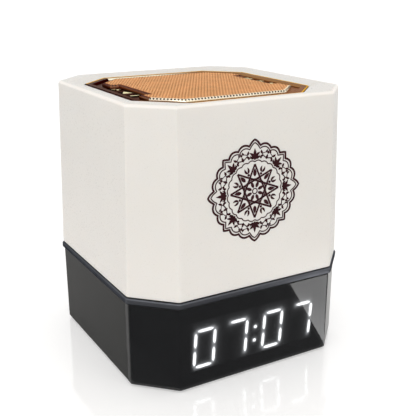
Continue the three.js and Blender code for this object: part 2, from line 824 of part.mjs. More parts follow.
// Square holes set on their corners, in a grid that keeps clear of every edge
function grilleHoles() {
  const margin = grilleEase + grilleHoleMargin + grilleHoleRadius;
  const reach = bezelWidth / 2 - grilleInset - margin;
  const diagonal = (bezelWidth - bezelLeg) / Math.SQRT2 - grilleInset - margin;
  const count = Math.floor(reach / grilleHolePitch);
  const holes = [];
  for (let column = -count; column <= count; column++) {
    for (let row = -count; row <= count; row++) {
      const x = column * grilleHolePitch;
      const y = row * grilleHolePitch;
      const insideChamfer = (Math.abs(x) + Math.abs(y)) / Math.SQRT2 <= diagonal;
      const besideKeys = Math.abs(x) > grilleNotchInset - margin && Math.abs(y) < grilleNotchReach + margin;
      if (insideChamfer && !besideKeys) {
        holes.push(rod(grilleHoleRadius, grilleSheet + 2 * overrun, x, y,
          grilleTop - grilleSheet - overrun, 4));
      }
    }
  }
  return mergeGeometries(holes);
}

// Loudspeaker housing: a plate screwed under the shade's top, with a cup for the driver
function speakerHousingGeometry() {
  const plateUnder = housingTop - housingPlate;
  const cupOuter = cupInner + housingWall;
  const cupOutside = turned([[0, cupBottom], [cupOuter, cupBottom], [cupOuter, housingTop - housingPlate / 2],
    [0, housingTop - housingPlate / 2]]);
  const driverBosses = driverScrewPlaces().map(([x, y]) =>
    rod(driverBossRadius, driverBossHeight + housingPlate / 2, x, y, plateUnder - driverBossHeight),
  );
  const pedestals = [-1, 1].map((side) =>
    block(keyBoardWidth, keysPerSide * keyPitch, keyPedestalTop - plateUnder - housingPlate / 2,
      side * keyRow, 0, plateUnder + housingPlate / 2),
  );
  const plate = octagonPrism(innerPlan, housingInset, plateUnder, housingTop);
  const cupInside = rod(cupInner, housingTop - cupBottom, 0, 0, cupBottom + housingFloor, turnSteps);
  const screwHoles = fourCorners(shadeBossSpread).map(([x, y]) =>
    rod(screwShankRadius + shankClearance, housingPlate + 2 * overrun, x, y, plateUnder - overrun),
  );
  const driverPilots = driverScrewPlaces().map(([x, y]) =>
    rod(screwShankRadius + pilotClearance, driverScrewLength, x, y, housingTop - driverScrewLength + seat),
  );
  const leadHole = rod(leadHoleRadius, housingFloor + 2 * overrun, 0, leadExitY, cupBottom - overrun);
  const driverRoom = rod(driverRadius + slip, keyBoardUnder - housingTop, 0, 0, housingTop, turnSteps);
  return cut(join(cupOutside, plate, ...driverBosses, ...pedestals), cupInside, leadHole, driverRoom,
    ...screwHoles, ...driverPilots);
}

// The four screws of the driver, on its diagonals
function driverScrewPlaces() {
  return [0, 1, 2, 3].map((i) => polar(driverScrewCircle, Math.PI / 4 + (i * Math.PI) / 2));
}

const driverHoles = (radius, bottom, height) =>
  driverScrewPlaces().map(([x, y]) => rod(radius, height, x, y, bottom));

// Foam ring between the driver and its housing
function gasketGeometry() {
  const ring = turned([
    [cupInner, gasketBottom],
    [driverRadius, gasketBottom],
    [driverRadius, gasketBottom + gasketThickness],
    [cupInner, gasketBottom + gasketThickness],
    [cupInner, gasketBottom],
  ]);
  const thickness = gasketThickness + 2 * overrun;
  return cut(ring, ...driverHoles(screwShankRadius + shankClearance, gasketBottom - overrun, thickness));
}

// Driver frame: a pressed basket with a flat flange and four windows
function driverFrameGeometry() {
  const back = driverUnder - driverDepth;
  const basket = turned([
    [driverThroat - driverSheet, driverTop],
    [driverRadius, driverTop],
    [driverRadius, driverUnder],
    [driverThroat, driverUnder],
    [driverBackRadius + driverSheet, back],
    [coneNeckRadius + magnetGap, back],
    [coneNeckRadius + magnetGap, back + driverSheet],
    [driverBackRadius, back + driverSheet],
    [driverThroat - driverSheet, driverUnder],
    [driverThroat - driverSheet, driverTop],
  ]);
  const windows = [0, 1].map((turn) => {
    const bar = block(2 * driverRadius, driverWindowWidth, driverDepth / 2, 0, 0, back + driverDepth / 3);
    return bar.rotateZ((turn * Math.PI) / 2);
  });
  const thickness = driverSheet + 2 * overrun;
  const screwHoles = driverHoles(screwShankRadius + shankClearance, driverUnder - overrun, thickness);
  return cut(basket, ...windows, ...screwHoles);
}

// Rubber half roll between the cone and the frame
function surroundGeometry() {
  const outer = driverThroat - slip;
  const roll = surroundWidth / 2;
  const middle = coneRim + roll;
  const inner = coneRim - driverSheet;
  const level = driverTop + slip;
  const arc = (radius, height, foot) =>
    [0, 1, 2, 3, 4].map((step) => {
      const angle = (step * Math.PI) / 4;
      return [middle + radius * Math.cos(angle), foot + height * Math.sin(angle)];
    });
  return turned([
    [outer, level],
    [outer, level + surroundSheet],
    ...arc(roll, surroundHeight, level + surroundSheet),
    [inner, level + surroundSheet],
    [inner, level],
    ...arc(roll - surroundSheet, surroundHeight, level).reverse(),
    [outer, level],
  ]);
}

// Cone with its dust cap and the voice coil's former
function coneGeometry() {
  const level = driverTop + slip - seat;
  const neck = level - coneDepth;
  return turned([
    [0, neck + coneNeckRadius / 2],
    [coneNeckRadius * Math.SQRT1_2, neck + coneNeckRadius / 3],
    [coneNeckRadius, neck],
    [coneRim, level],
    [coneRim, level - coneSheet],
    [coneNeckRadius, neck - coneSheet],
    [coneNeckRadius, neck - coilLength],
    [coneNeckRadius - coilSheet, neck - coilLength],
    [coneNeckRadius - coilSheet, neck - coneSheet],
    [0, neck - coneSheet],
  ]);
}

// Magnet with its yoke and the ring gap for the voice coil
function magnetGeometry() {
  const top = driverUnder - driverDepth - slip;
  const bottom = top - magnetHeight;
  const gapInner = coneNeckRadius - magnetGap;
  const gapOuter = coneNeckRadius + magnetGap;
  const gapFloor = bottom + magnetHeight / 3;
  return turned([
    [0, top],
    [gapInner, top],
    [gapInner, gapFloor],
    [gapOuter, gapFloor],
    [gapOuter, top],
    [magnetRadius, top],
    [magnetRadius, bottom],
    [0, bottom],
  ]);
}

// Screw: a domed head with a driver recess, its shank pointing along -Z from z = 0
function screwGeometry(length) {
  const headEdge = screwHeadHeight / 2;
  return turned(
    [
      [0, -length],
      [screwShankRadius / 2, -length],
      [screwShankRadius, -length + screwShankRadius],
      [screwShankRadius, 0],
      [screwHeadRadius, 0],
      [screwHeadRadius, headEdge],
      [screwRecessRadius, screwHeadHeight],
      [screwRecessRadius / 2, screwHeadHeight - screwRecessDepth],
      [0, screwHeadHeight - screwRecessDepth],
    ],
    screwTurnSteps,
  );
}

// Light board: a round white board with rings of light chips
function lightBoardGeometry() {
  const board = rod(lightBoardRadius, lightBoardThickness, 0, 0, 0, turnSteps);
  const ring = (count, radius) =>
    Array.from({ length: count }, (_, i) => {
      const chip = block(lightChipSize, lightChipSize, lightChipHeight + lightBoardThickness / 2, radius, 0,
        lightBoardThickness / 2);
      return chip.rotateZ(((i + 1 / 2) * 2 * Math.PI) / count);
    });
  const holes = [-1, 1].map((side) =>
    rod(screwShankRadius + shankClearance, lightBoardThickness + 2 * overrun, side * lightScrewSpread, 0,
      -overrun),
  );
  const chips = [...ring(lightCount, lightCircle), ...ring(lightInnerCount, lightInnerCircle)];
  return cut(join(board, ...chips), ...holes);
}

// Bottom cover: closes the base, with recesses for feet and screws, saddles and posts inside
function bottomCoverGeometry() {
  const plate = octagonPrism(innerPlan, baseInset + baseWall + slip, coverBottom, coverTop);
  const frontRelief = common(
    octagonFrame(innerPlan, [
      [-overrun, coverBottom - overrun],
      [backingInset + slip, coverBottom - overrun],
      [backingInset + slip, coverTop + overrun],
      [-overrun, coverTop + overrun],
    ]),
    frontOf(wrapY + baseWall + slip),
  );
  const saddleWidth = 2 * cellRadius + 2 * saddleThickness;
  const saddles = [-1, 1].map((side) =>
    block(saddleThickness, saddleWidth, saddleHeight + coverThickness / 2, side * saddleSpread, cellMiddleY,
      coverTop - coverThickness / 2),
  );
  const cell = new THREE.CylinderGeometry(cellRadius + slip, cellRadius + slip, seamWidth, turnSteps)
    .rotateZ(Math.PI / 2)
    .translate(0, cellMiddleY, cellMiddleZ);
  const posts = boardPostPlaces().map(([x, y]) =>
    rod(boardPostRadius, boardLift - slip + coverThickness / 2, x, y, coverTop - coverThickness / 2),
  );
  const postPilots = boardScrewPlaces().map(([x, y]) =>
    rod(screwShankRadius + pilotClearance, boardScrewLength, x, y, boardTop - boardScrewLength),
  );
  const feet = fourCorners(footSpread).map(([x, y]) =>
    rod(footRadius + slip, footRecess + overrun, x, y, coverBottom - overrun, footTurnSteps),
  );
  const holes = fourCorners(coverScrewSpread).flatMap(([x, y]) => [
    rod(screwShankRadius + shankClearance, coverThickness + 2 * overrun, x, y, coverBottom - overrun),
    rod(counterboreRadius, counterboreDepth + overrun, x, y, coverBottom - overrun),
  ]);
  return cut(join(plate, ...saddles, ...posts), frontRelief, cell, ...postPilots, ...feet, ...holes);
}

// The posts under the main board's corners. The board is screwed to the two at its front.
function boardPostPlaces() {
  const x = boardWidth / 2 - boardPostInset;
  const y = boardLength / 2 - boardPostInset;
  return [[-x, boardMiddleY - y], [x, boardMiddleY - y], [-x, boardMiddleY + y], [x, boardMiddleY + y]];
}

const boardScrewPlaces = () => boardPostPlaces().filter(([, y]) => y < boardMiddleY);

// Rubber foot, let into the bottom cover
function footGeometry() {
  const height = coverBottom + footRecess - slip;
  return turned(
    [[0, 0], [footRadius - footEase, 0], [footRadius, footEase], [footRadius, height], [0, height]],
    footTurnSteps,
  );
}

// Battery cell lying along X
function cellGeometry() {
  const reach = cellLength / 2;
  const shell = turned([
    [0, -reach],
    [cellRadius - cellEase, -reach],
    [cellRadius, -reach + cellEase],
    [cellRadius, reach - cellEase],
    [cellRadius - cellEase, reach],
    [cellCapRadius, reach],
    [cellCapRadius, reach + cellCapHeight],
    [0, reach + cellCapHeight],
  ]);
  return shell.rotateY(Math.PI / 2);
}

// Main board with its two chips
function mainBoardGeometry() {
  const board = block(boardWidth, boardLength, boardThickness, 0, boardMiddleY, boardUnder);
  const chips = [-1, 1].map((side) =>
    block(chipSize, chipSize, chipHeight + boardThickness / 2, side * chipSize, boardMiddleY - chipSize,
      boardUnder + boardThickness / 2),
  );
  const holes = boardScrewPlaces().map(([x, y]) =>
    rod(screwShankRadius + shankClearance, boardThickness + 2 * overrun, x, y, boardUnder - overrun),
  );
  return cut(join(board, ...chips), ...holes);
}

// Charging socket: a steel shell with rounded ends and a tongue, its mouth in the rear wall
function chargingSocketGeometry() {
  const capsule = (width, height) => {
    const radius = height / 2;
    const reach = width / 2 - radius;
    const outline = new THREE.Shape();
    outline.absarc(reach, 0, radius, -Math.PI / 2, Math.PI / 2);
    outline.absarc(-reach, 0, radius, Math.PI / 2, (3 * Math.PI) / 2);
    return outline;
  };
  const lying = (outline, depth) =>
    new THREE.ExtrudeGeometry(outline, { depth, bevelEnabled: false, curveSegments: 4 }).rotateX(Math.PI / 2);
  const shell = lying(capsule(usbWidth, usbHeight), usbDepth);
  const mouth = lying(capsule(usbWidth - 2 * usbSheet, usbHeight - 2 * usbSheet), usbDepth);
  mouth.translate(0, usbSheet, 0);
  const tongue = block(usbWidth * usbTongueShare, usbDepth - usbHeight / 2, usbTongueThickness, 0,
    -(usbDepth + usbHeight / 2) / 2, -usbTongueThickness / 2);
  return join(cut(shell, mouth), tongue);
}

// Card socket: a flat shell with a slot in its rear edge
function cardSocketGeometry() {
  const body = block(cardWidth, cardDepth, cardHeight, 0, -cardDepth / 2, -cardHeight / 2);
  const slot = block(cardSlotWidth, cardDepth - cardHeight + overrun, cardSlotHeight, 0,
    (overrun - cardDepth + cardHeight) / 2, -cardSlotHeight / 2);
  return cut(body, slot);
}

// Power switch: a body open to the rear, where its knob slides
function powerSwitchGeometry() {
  const body = block(switchWidth, switchDepth, switchHeight, 0, -switchDepth / 2, -switchHeight / 2);
  const roomWidth = knobWidth + knobTravel + 2 * (knobFlange + slip);
  const room = block(roomWidth, knobFlangeDepth + 2 * slip + overrun, knobHeight + 2 * slip,
    -knobTravel / 2, overrun / 2 - knobFlangeDepth / 2 - slip, -knobHeight / 2 - slip);
  return cut(body, room);
}

// Power knob: a ribbed finger on a wider foot that stays inside the switch
function powerKnobGeometry() {
  const finger = rearOuter + knobProud - switchRear;
  return join(
    block(knobWidth, finger + knobFlangeDepth, knobHeight, 0, (finger - knobFlangeDepth) / 2,
      -knobHeight / 2),
    block(knobWidth + 2 * knobFlange, knobFlangeDepth, knobHeight, 0, -knobFlangeDepth / 2 - slip,
      -knobHeight / 2),
  );
}

// Lead: leaves the housing's floor, swings to the back, drops through the deck and ends at the main board
function leadGeometry() {
  const start = cupBottom + housingFloor + seat;
  const boardEnd = boardTop + seat;
  const middle = (cupBottom + deckTop) / 2;
  const curve = new THREE.CatmullRomCurve3([
    new THREE.Vector3(0, leadExitY, start),
    new THREE.Vector3(0, leadExitY, cupBottom - leadHoleRadius),
    new THREE.Vector3(0, (leadExitY + leadDropY) / 2, middle + leadHoleRadius),
    new THREE.Vector3(0, leadDropY, middle - 2 * leadHoleRadius),
    new THREE.Vector3(0, leadDropY, deckTop),
    new THREE.Vector3(0, leadDropY, deckUnder),
    new THREE.Vector3(0, (leadDropY + boardMiddleY) / 2, (deckUnder + boardEnd) / 2),
    new THREE.Vector3(0, boardMiddleY, boardEnd + 2 * leadHoleRadius),
    new THREE.Vector3(0, boardMiddleY, boardEnd),
  ]);
  const section = new THREE.Shape(
    Array.from({ length: leadSides }, (_, i) => {
      const [x, y] = polar(leadRadius, (i * 2 * Math.PI) / leadSides);
      return new THREE.Vector2(x, y);
    }),
  );
  return new THREE.ExtrudeGeometry(section, { extrudePath: curve, steps: leadSteps });
}

// Finishes
const finish = (color, roughness, metalness = 0) =>
  new THREE.MeshStandardMaterial({ color, roughness, metalness, flatShading: true });
const milk = finish(0xe9e5df, 0.35);
const satinGrey = finish(0x4a4c50, 0.4);
const black = finish(0x3d3d3b, 0.55);
const smoked = finish(0x121315, 0.06);
const gilt = finish(0xc79a3e, 0.15, 1);
const roseGold = finish(0xd69c6c, 0.35, 0.9);
const darkModule = finish(0x17181a, 0.5);
const greenBoard = finish(0x1d5a36, 0.5);
const whiteBoard = finish(0xf0f0ea, 0.5);
const whitePlastic = finish(0xe6e6e2, 0.5);
const steel = finish(0xb4b7ba, 0.35, 1);
const ferrite = finish(0x3a3a3c, 0.6);
const paper = finish(0x222222, 0.8);
const rubber = finish(0x2a2a2a, 0.85);
const cellWrap = finish(0x2f6fb3, 0.4);

const lamp = new THREE.Group();

function add(name, geometry, material, x = 0, y = 0, z = 0, parent = lamp) {
  const mesh = new THREE.Mesh(geometry, material);
  mesh.name = name;
  mesh.position.set(x, y, z);
  parent.add(mesh);
  return mesh;
}

// Upper half: shade, bezel, keys, grille and loudspeaker
const upper = new THREE.Group();
lamp.add(upper);
add("lamp_shade", shadeGeometry(), milk, 0, 0, 0, upper);
add("top_bezel", bezelGeometry(), gilt, 0, 0, 0, upper);
add("speaker_grille", grilleGeometry(), roseGold, 0, 0, 0, upper);
for (const { name, x, y } of keyPlaces()) {
  add(name, keyGeometry(), gilt, x, y, keyFlangeUnder, upper);
}
add("key_board_left", keyBoardGeometry(), greenBoard, -keyRow, 0, keyBoardUnder, upper);
add("key_board_right", keyBoardGeometry(), greenBoard, keyRow, 0, keyBoardUnder, upper);
add("speaker_housing", speakerHousingGeometry(), whitePlastic, 0, 0, 0, upper);
add("speaker_gasket", gasketGeometry(), rubber, 0, 0, 0, upper);
add("speaker_frame", driverFrameGeometry(), steel, 0, 0, 0, upper);
add("speaker_surround", surroundGeometry(), rubber, 0, 0, 0, upper);
add("speaker_cone", coneGeometry(), paper, 0, 0, 0, upper);
add("speaker_magnet", magnetGeometry(), ferrite, 0, 0, 0, upper);
driverScrewPlaces().forEach(([x, y], i) => {
  add(`speaker_screw_${i + 1}`, screwGeometry(driverScrewLength), steel, x, y, driverTop + slip, upper);
});
fourCorners(shadeBossSpread).forEach(([x, y], i) => {
  const screw = screwGeometry(housingScrewLength);
  const under = housingTop - housingPlate - slip;
  add(`housing_screw_${i + 1}`, screw, steel, x, y, under, upper).rotation.x = Math.PI;
});

// Lower half: trim ring, base, window, clock, boards, battery and feet
const lower = new THREE.Group();
lamp.add(lower);
add("trim_ring", trimRingGeometry(), satinGrey, 0, 0, 0, lower);
add("base_housing", baseHousingGeometry(), black, 0, 0, 0, lower);
add("clock_window", windowGeometry(), smoked, 0, 0, 0, lower);
add("clock_module", clockModuleGeometry(), darkModule, 0, 0, 0, lower);
add("clock_board", clockBoardGeometry(), greenBoard, 0, 0, 0, lower);
[-1, 1].forEach((side, i) => {
  const screw = add(`clock_screw_${i + 1}`, screwGeometry(clockScrewLength), steel,
    side * clockScrewSpread, clockBoardBack + slip, digitMiddle, lower);
  screw.rotation.x = -Math.PI / 2;
});
add("light_board", lightBoardGeometry(), whiteBoard, 0, 0, deckTop + slip, lower);
[-1, 1].forEach((side, i) => {
  const top = deckTop + slip + lightBoardThickness + slip;
  add(`light_screw_${i + 1}`, screwGeometry(lightScrewLength), steel, side * lightScrewSpread, 0, top, lower);
});
add("bottom_cover", bottomCoverGeometry(), black, 0, 0, 0, lower);
fourCorners(coverScrewSpread).forEach(([x, y], i) => {
  const under = coverBottom + counterboreDepth - slip;
  add(`base_screw_${i + 1}`, screwGeometry(baseScrewLength), steel, x, y, under, lower).rotation.x = Math.PI;
});
fourCorners(footSpread).forEach(([x, y], i) => {
  add(`foot_${i + 1}`, footGeometry(), rubber, x, y, 0, lower);
});
add("battery_cell", cellGeometry(), cellWrap, 0, cellMiddleY, cellMiddleZ, lower);
add("main_board", mainBoardGeometry(), greenBoard, 0, 0, 0, lower);
boardScrewPlaces().forEach(([x, y], i) => {
  add(`board_screw_${i + 1}`, screwGeometry(boardScrewLength), steel, x, y, boardTop + slip, lower);
});
const usbMiddle = boardTop + slip + usbHeight / 2;
add("charging_socket", chargingSocketGeometry(), steel, usbX, rearOuter - baseWall / 2, usbMiddle, lower);
add("card_socket", cardSocketGeometry(), steel, cardX, switchRear, boardTop + slip + cardHeight / 2, lower);
const switchMiddle = boardTop + slip + switchHeight / 2;
add("power_switch", powerSwitchGeometry(), ferrite, switchX, switchRear, switchMiddle, lower);
add("power_knob", powerKnobGeometry(), black, switchX, switchRear, switchMiddle, lower);
add("speaker_lead", leadGeometry(), rubber, 0, 0, 0, lower);

export default lamp;
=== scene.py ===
import math
from contextlib import contextmanager

import bmesh
import bpy
from mathutils import Matrix, Vector

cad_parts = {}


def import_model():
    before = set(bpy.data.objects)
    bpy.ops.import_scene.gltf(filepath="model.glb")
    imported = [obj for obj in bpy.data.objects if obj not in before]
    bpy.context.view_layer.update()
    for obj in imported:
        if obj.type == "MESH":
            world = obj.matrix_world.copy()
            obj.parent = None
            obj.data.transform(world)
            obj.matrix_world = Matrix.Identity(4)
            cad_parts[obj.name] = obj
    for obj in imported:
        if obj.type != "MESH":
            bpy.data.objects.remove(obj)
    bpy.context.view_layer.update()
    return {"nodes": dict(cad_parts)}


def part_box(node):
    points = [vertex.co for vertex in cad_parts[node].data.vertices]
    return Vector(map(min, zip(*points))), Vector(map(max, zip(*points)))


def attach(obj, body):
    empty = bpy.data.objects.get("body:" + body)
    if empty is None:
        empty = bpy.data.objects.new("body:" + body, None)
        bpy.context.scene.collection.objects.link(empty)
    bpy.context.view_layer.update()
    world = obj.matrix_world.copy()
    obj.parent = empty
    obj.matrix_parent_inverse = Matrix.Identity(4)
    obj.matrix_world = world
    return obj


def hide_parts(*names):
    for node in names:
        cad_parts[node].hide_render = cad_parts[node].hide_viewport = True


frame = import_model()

# The nodes of the imported model, and units
NODES = frame["nodes"]
MM = 0.001
DIAGONAL = math.sqrt(0.5)

# Sizes read from the frame
SHADE_LOW, SHADE_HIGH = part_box("lamp_shade")
BEZEL_LOW, BEZEL_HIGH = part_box("top_bezel")
GRILLE_LOW, GRILLE_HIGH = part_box("speaker_grille")
RING_LOW, RING_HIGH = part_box("trim_ring")
WINDOW_LOW, WINDOW_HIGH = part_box("clock_window")
MODULE_LOW, MODULE_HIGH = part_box("clock_module")
KEY_LOW, KEY_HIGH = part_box("key_right_middle")

# Sizes of the lamp's plan and shade that the boxes don't give
HALF = SHADE_HIGH.x
CHAMFER_LEG = 15.4 * MM
EDGE_EASE = 2.0 * MM
LEAST_EASE = 0.05 * MM
LEG_TAPER = 2 - math.sqrt(2)
FLAT_MARGIN = 0.3 * MM
SHADE_BOTTOM = RING_HIGH.z + 0.4 * MM
SHADE_LEAN = 2.2 * MM
SHADE_WALL = 2.4 * MM
SHADE_DISH = 1.4 * MM
SHADE_TOP = SHADE_HIGH.z - SHADE_DISH
SHADE_RIM_WIDTH = 1.0 * MM
SHADE_TOP_EASE = 1.5 * MM
SHADE_INNER_EASE = 0.6 * MM
SHADE_SEAT_EASE = 0.2 * MM
SKIRT_INSET = 3.35 * MM
SKIRT_WALL = 1.6 * MM
SKIRT_RISE = 1.0 * MM
RING_EASE = 0.6 * MM
RING_DEPTH = 3.7 * MM
BASE_INSET = 0.4 * MM
BASE_DRAFT = 0.2 * MM
WINDOW_THICKNESS = 2.0 * MM
WINDOW_BEVEL = 0.3 * MM

# Sizes of the bezel and the grille
BEZEL_HALF = BEZEL_HIGH.x
BEZEL_LEG = 14.8 * MM
BEZEL_GAP = 0.2 * MM
BEZEL_EASE = 1.0 * MM
BEZEL_RECESS = 1.1 * MM
BEZEL_TOP = BEZEL_HIGH.z + 0.5 * MM
BEZEL_FOOT = BEZEL_HIGH.z - 1.4 * MM
OPENING_INSET = 1.9 * MM
BRIM_INSET = 0.9 * MM
BRIM_WIDTH = 3.0 * MM
BAND_TOP = BEZEL_HIGH.z - 0.25 * MM
BEAD_INSET = 0.5 * MM
BEAD_HEIGHT = BEZEL_TOP - 0.25 * MM
BEAD_RADIUS = 0.4 * MM
# Where the painted dark reflection on the bezel's left end stops
DARK_REFLECTION_END = -29 * MM
GRILLE_TRIM = 2.8 * MM
GRILLE_REACH = GRILLE_HIGH.x - GRILLE_TRIM
GRILLE_INSET = BEZEL_HIGH.x - GRILLE_REACH
GRILLE_EASE = 1.0 * MM
GRILLE_SHEET = 0.4 * MM
GRILLE_FRONT = -20 * MM
NOTCH_INSET = KEY_LOW.x - BEZEL_GAP
NOTCH_REACH = 14.8 * MM
HOLE_PITCH = 1.46 * MM
HOLE_RADIUS = 0.5 * MM
HOLE_COUNT = 54
SEW_SHARE = 0.02
RIM_HOLE_RADIUS = 0.42 * MM

SHADE_PLAN = (HALF, CHAMFER_LEG, EDGE_EASE)
BEZEL_PLAN = (BEZEL_HALF, BEZEL_LEG, BEZEL_EASE)


# Outlines and meshes

def octagon(half, leg, ease, inset, steps):
    """Corner points of a chamfered square, drawn inwards by an inset, each corner rounded by an arc."""
    radius = max(ease - inset, LEAST_EASE)
    near = half - inset - radius
    far = half - inset - (leg - inset * LEG_TAPER) - radius * math.tan(math.pi / 8)
    points = []
    for quarter in range(4):
        turn = Matrix.Rotation(quarter * math.pi / 2, 2)
        for corner, (x, y) in enumerate(((near, far), (far, near))):
            # A point just before and after each arc keeps the flats flat
            for step in (-1, *range(steps + 1), steps + 1):
                held = min(max(step, 0), steps)
                angle = (corner + held / steps) * math.pi / 4
                past = (step - held) * FLAT_MARGIN
                points.append(turn @ Vector((x + radius * math.cos(angle) - past * math.sin(angle),
                                             y + radius * math.sin(angle) + past * math.cos(angle))))
    return points


def octagon_rings(plan, profile, steps=8):
    """A ring of points round the chamfered square for each inset and height of a profile."""
    return [[(p.x, p.y, z) for p in octagon(*plan, inset, steps)] for inset, z in profile]


def polar(radius, angle):
    return (radius * math.cos(angle), radius * math.sin(angle))


def arc(height, radius, start, end, steps):
    """Points of a profile's arc about a height, angles in degrees from the inset axis."""
    turns = [math.radians(start + (end - start) * step / steps) for step in range(steps + 1)]
    return [(radius * math.cos(turn), height + radius * math.sin(turn)) for turn in turns]


@contextmanager
def opened(mesh, outward=True):
    """A mesh opened for editing, then written back with its faces turned outwards."""
    bm = bmesh.new()
    bm.from_mesh(mesh)
    yield bm
    if outward:
        bmesh.ops.recalc_face_normals(bm, faces=bm.faces)
    bm.to_mesh(mesh)
    bm.free()


def cut(bm, place, normal, clear):
    """Cuts a mesh along a plane and, if asked, clears what lies beyond it."""
    geometry = bm.verts[:] + bm.edges[:] + bm.faces[:]
    bmesh.ops.bisect_plane(bm, geom=geometry, plane_co=place, plane_no=normal, clear_outer=clear)


def close_holes(bm):
    bmesh.ops.holes_fill(bm, edges=[edge for edge in bm.edges if edge.is_boundary])


def add_object(name, data):
    piece = bpy.data.objects.new(name, data)
    bpy.context.scene.collection.objects.link(piece)
    return piece


def mesh_object(name, vertices, faces, material=None, merge=1e-7):
    mesh = bpy.data.meshes.new(name)
    mesh.from_pydata([tuple(v) for v in vertices], [], faces)
    with opened(mesh) as bm:
        bmesh.ops.remove_doubles(bm, verts=bm.verts, dist=merge)
    if material:
        mesh.materials.append(material)
    return add_object(name, mesh)


def loft(name, rings, material):
    """A closed skin over rings of points, from the last ring back to the first."""
    count = len(rings[0])
    faces = []
    for band in range(len(rings)):
        a, b = band * count, (band + 1) % len(rings) * count
        faces += [(a + i, a + (i + 1) % count, b + (i + 1) % count, b + i) for i in range(count)]
    return mesh_object(name, [point for ring in rings for point in ring], faces, material)


def join_meshes(name, *pieces):
    """One object from several, in the order given."""
    bm = bmesh.new()
    for piece in pieces:
        bm.from_mesh(piece.data)
        bpy.data.objects.remove(piece)
    mesh = bpy.data.meshes.new(name)
    bm.to_mesh(mesh)
    bm.free()
    return add_object(name, mesh)


def lay(piece, place):
    """Moves each point of a flat drawing to its place on the lamp."""
    with opened(piece.data) as bm:
        for vertex in bm.verts:
            vertex.co = place(*vertex.co)
    return piece


def with_modifier(piece, modifier):
    """Turns a piece with a live modifier into a plain mesh."""
    graph = bpy.context.evaluated_depsgraph_get()
    mesh = bpy.data.meshes.new_from_object(piece.evaluated_get(graph))
    piece.modifiers.remove(modifier)
    piece.data = mesh
    return piece


def smooth(piece, degrees=30):
    piece.data.shade_smooth()
    piece.data.set_sharp_from_angle(angle=math.radians(degrees))
    return piece


KEYS = [f"key_{row}_{place}" for row in ("left", "right") for place in ("front", "middle", "back")]


def all_with(part):
    return [name for name in NODES if part in name]


def dress(material, *names):
    """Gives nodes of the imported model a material."""
    for node in (NODES[name] for name in names):
        if not node.material_slots:
            node.data.materials.append(material)
        for slot in node.material_slots:
            slot.material = material


def paint_faces(piece, material, chosen):
    """Gives the faces whose middle is chosen a material of their own."""
    piece.data.materials.append(material)
    for polygon in piece.data.polygons:
        if chosen(polygon.center):
            polygon.material_index = len(piece.data.materials) - 1


def settle(piece, node=None, body="lamp"):
    """Hangs a piece on the body it rides on and hides the node it stands in for."""
    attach(piece, body)
    if node:
        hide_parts(node)


# Node trees

class Nodes:
    """A node tree, built up by short calls."""

    def __init__(self, tree):
        self.tree = tree

    def put(self, socket, value):
        """Gives a socket a number, a colour or the output of another node."""
        if isinstance(value, bpy.types.NodeSocket):
            self.tree.links.new(value, socket)
        else:
            socket.default_value = (*value, 1) if socket.type == "RGBA" else value

    def node(self, kind, *values, **named):
        """Adds a node. Values fill its inputs in order. Lower-case names are settings, the others inputs."""
        node = self.tree.nodes.new(kind)
        for name in [name for name in named if name.islower()]:
            setattr(node, name, named.pop(name))
        for socket, value in zip(node.inputs, values):
            self.put(socket, value)
        for name, value in named.items():
            self.put(node.inputs[name.replace("_", " ")], value)
        return node

    def math(self, operation, a, b):
        return self.node("ShaderNodeMath", a, b, operation=operation).outputs[0]

    def spread(self, value, low, high, start=0.3, end=0.7):
        """Maps a value from its own span, start to end, to another."""
        return self.node("ShaderNodeMapRange", Value=value, From_Min=start, From_Max=end, To_Min=low,
                         To_Max=high).outputs["Result"]


# Geometry Nodes trees for what repeats

class Tree(Nodes):
    """A Geometry Nodes tree with named inputs, used once and turned into a plain mesh."""

    def __init__(self, title, **kinds):
        super().__init__(bpy.data.node_groups.new(title, "GeometryNodeTree"))
        panel = self.tree.interface
        self.sockets = {name: panel.new_socket(name, in_out="INPUT", socket_type="NodeSocket" + kind)
                        for name, kind in {"Geometry": "Geometry", **kinds}.items()}
        panel.new_socket("Geometry", in_out="OUTPUT", socket_type="NodeSocketGeometry")
        self.given = self.node("NodeGroupInput").outputs
        self.result = self.node("NodeGroupOutput").inputs[0]

    def out(self, kind, *values, **named):
        """The first output of a new node."""
        return self.node(kind, *values, **named).outputs[0]

    def run(self, piece, geometry, material, **values):
        """Ends the tree in Realize Instances and Set Material, and lets it make the piece's mesh."""
        realized = self.out("GeometryNodeRealizeInstances", Geometry=geometry)
        painted = self.node("GeometryNodeSetMaterial", Geometry=realized)
        painted.inputs["Material"].default_value = material
        self.put(self.result, painted.outputs[0])
        modifier = piece.modifiers.new(self.tree.name, "NODES")
        modifier.node_group = self.tree
        for name, value in values.items():
            modifier[self.sockets[name].identifier] = value
        return with_modifier(piece, modifier)


def around(motif, copies, material):
    """Copies of a flat motif turned evenly round the origin."""
    tree = Tree("around", Copies="Int")
    flat, number = tree.given["Geometry"], tree.given["Copies"]
    points = tree.out("GeometryNodePoints", Count=number)
    step = tree.math("DIVIDE", math.tau, number)
    turn = tree.out("ShaderNodeCombineXYZ", Z=tree.math("MULTIPLY", tree.out("GeometryNodeInputIndex"), step))
    copied = tree.out("GeometryNodeInstanceOnPoints", Points=points, Instance=flat, Rotation=turn)
    return tree.run(motif, copied, material, Copies=copies)


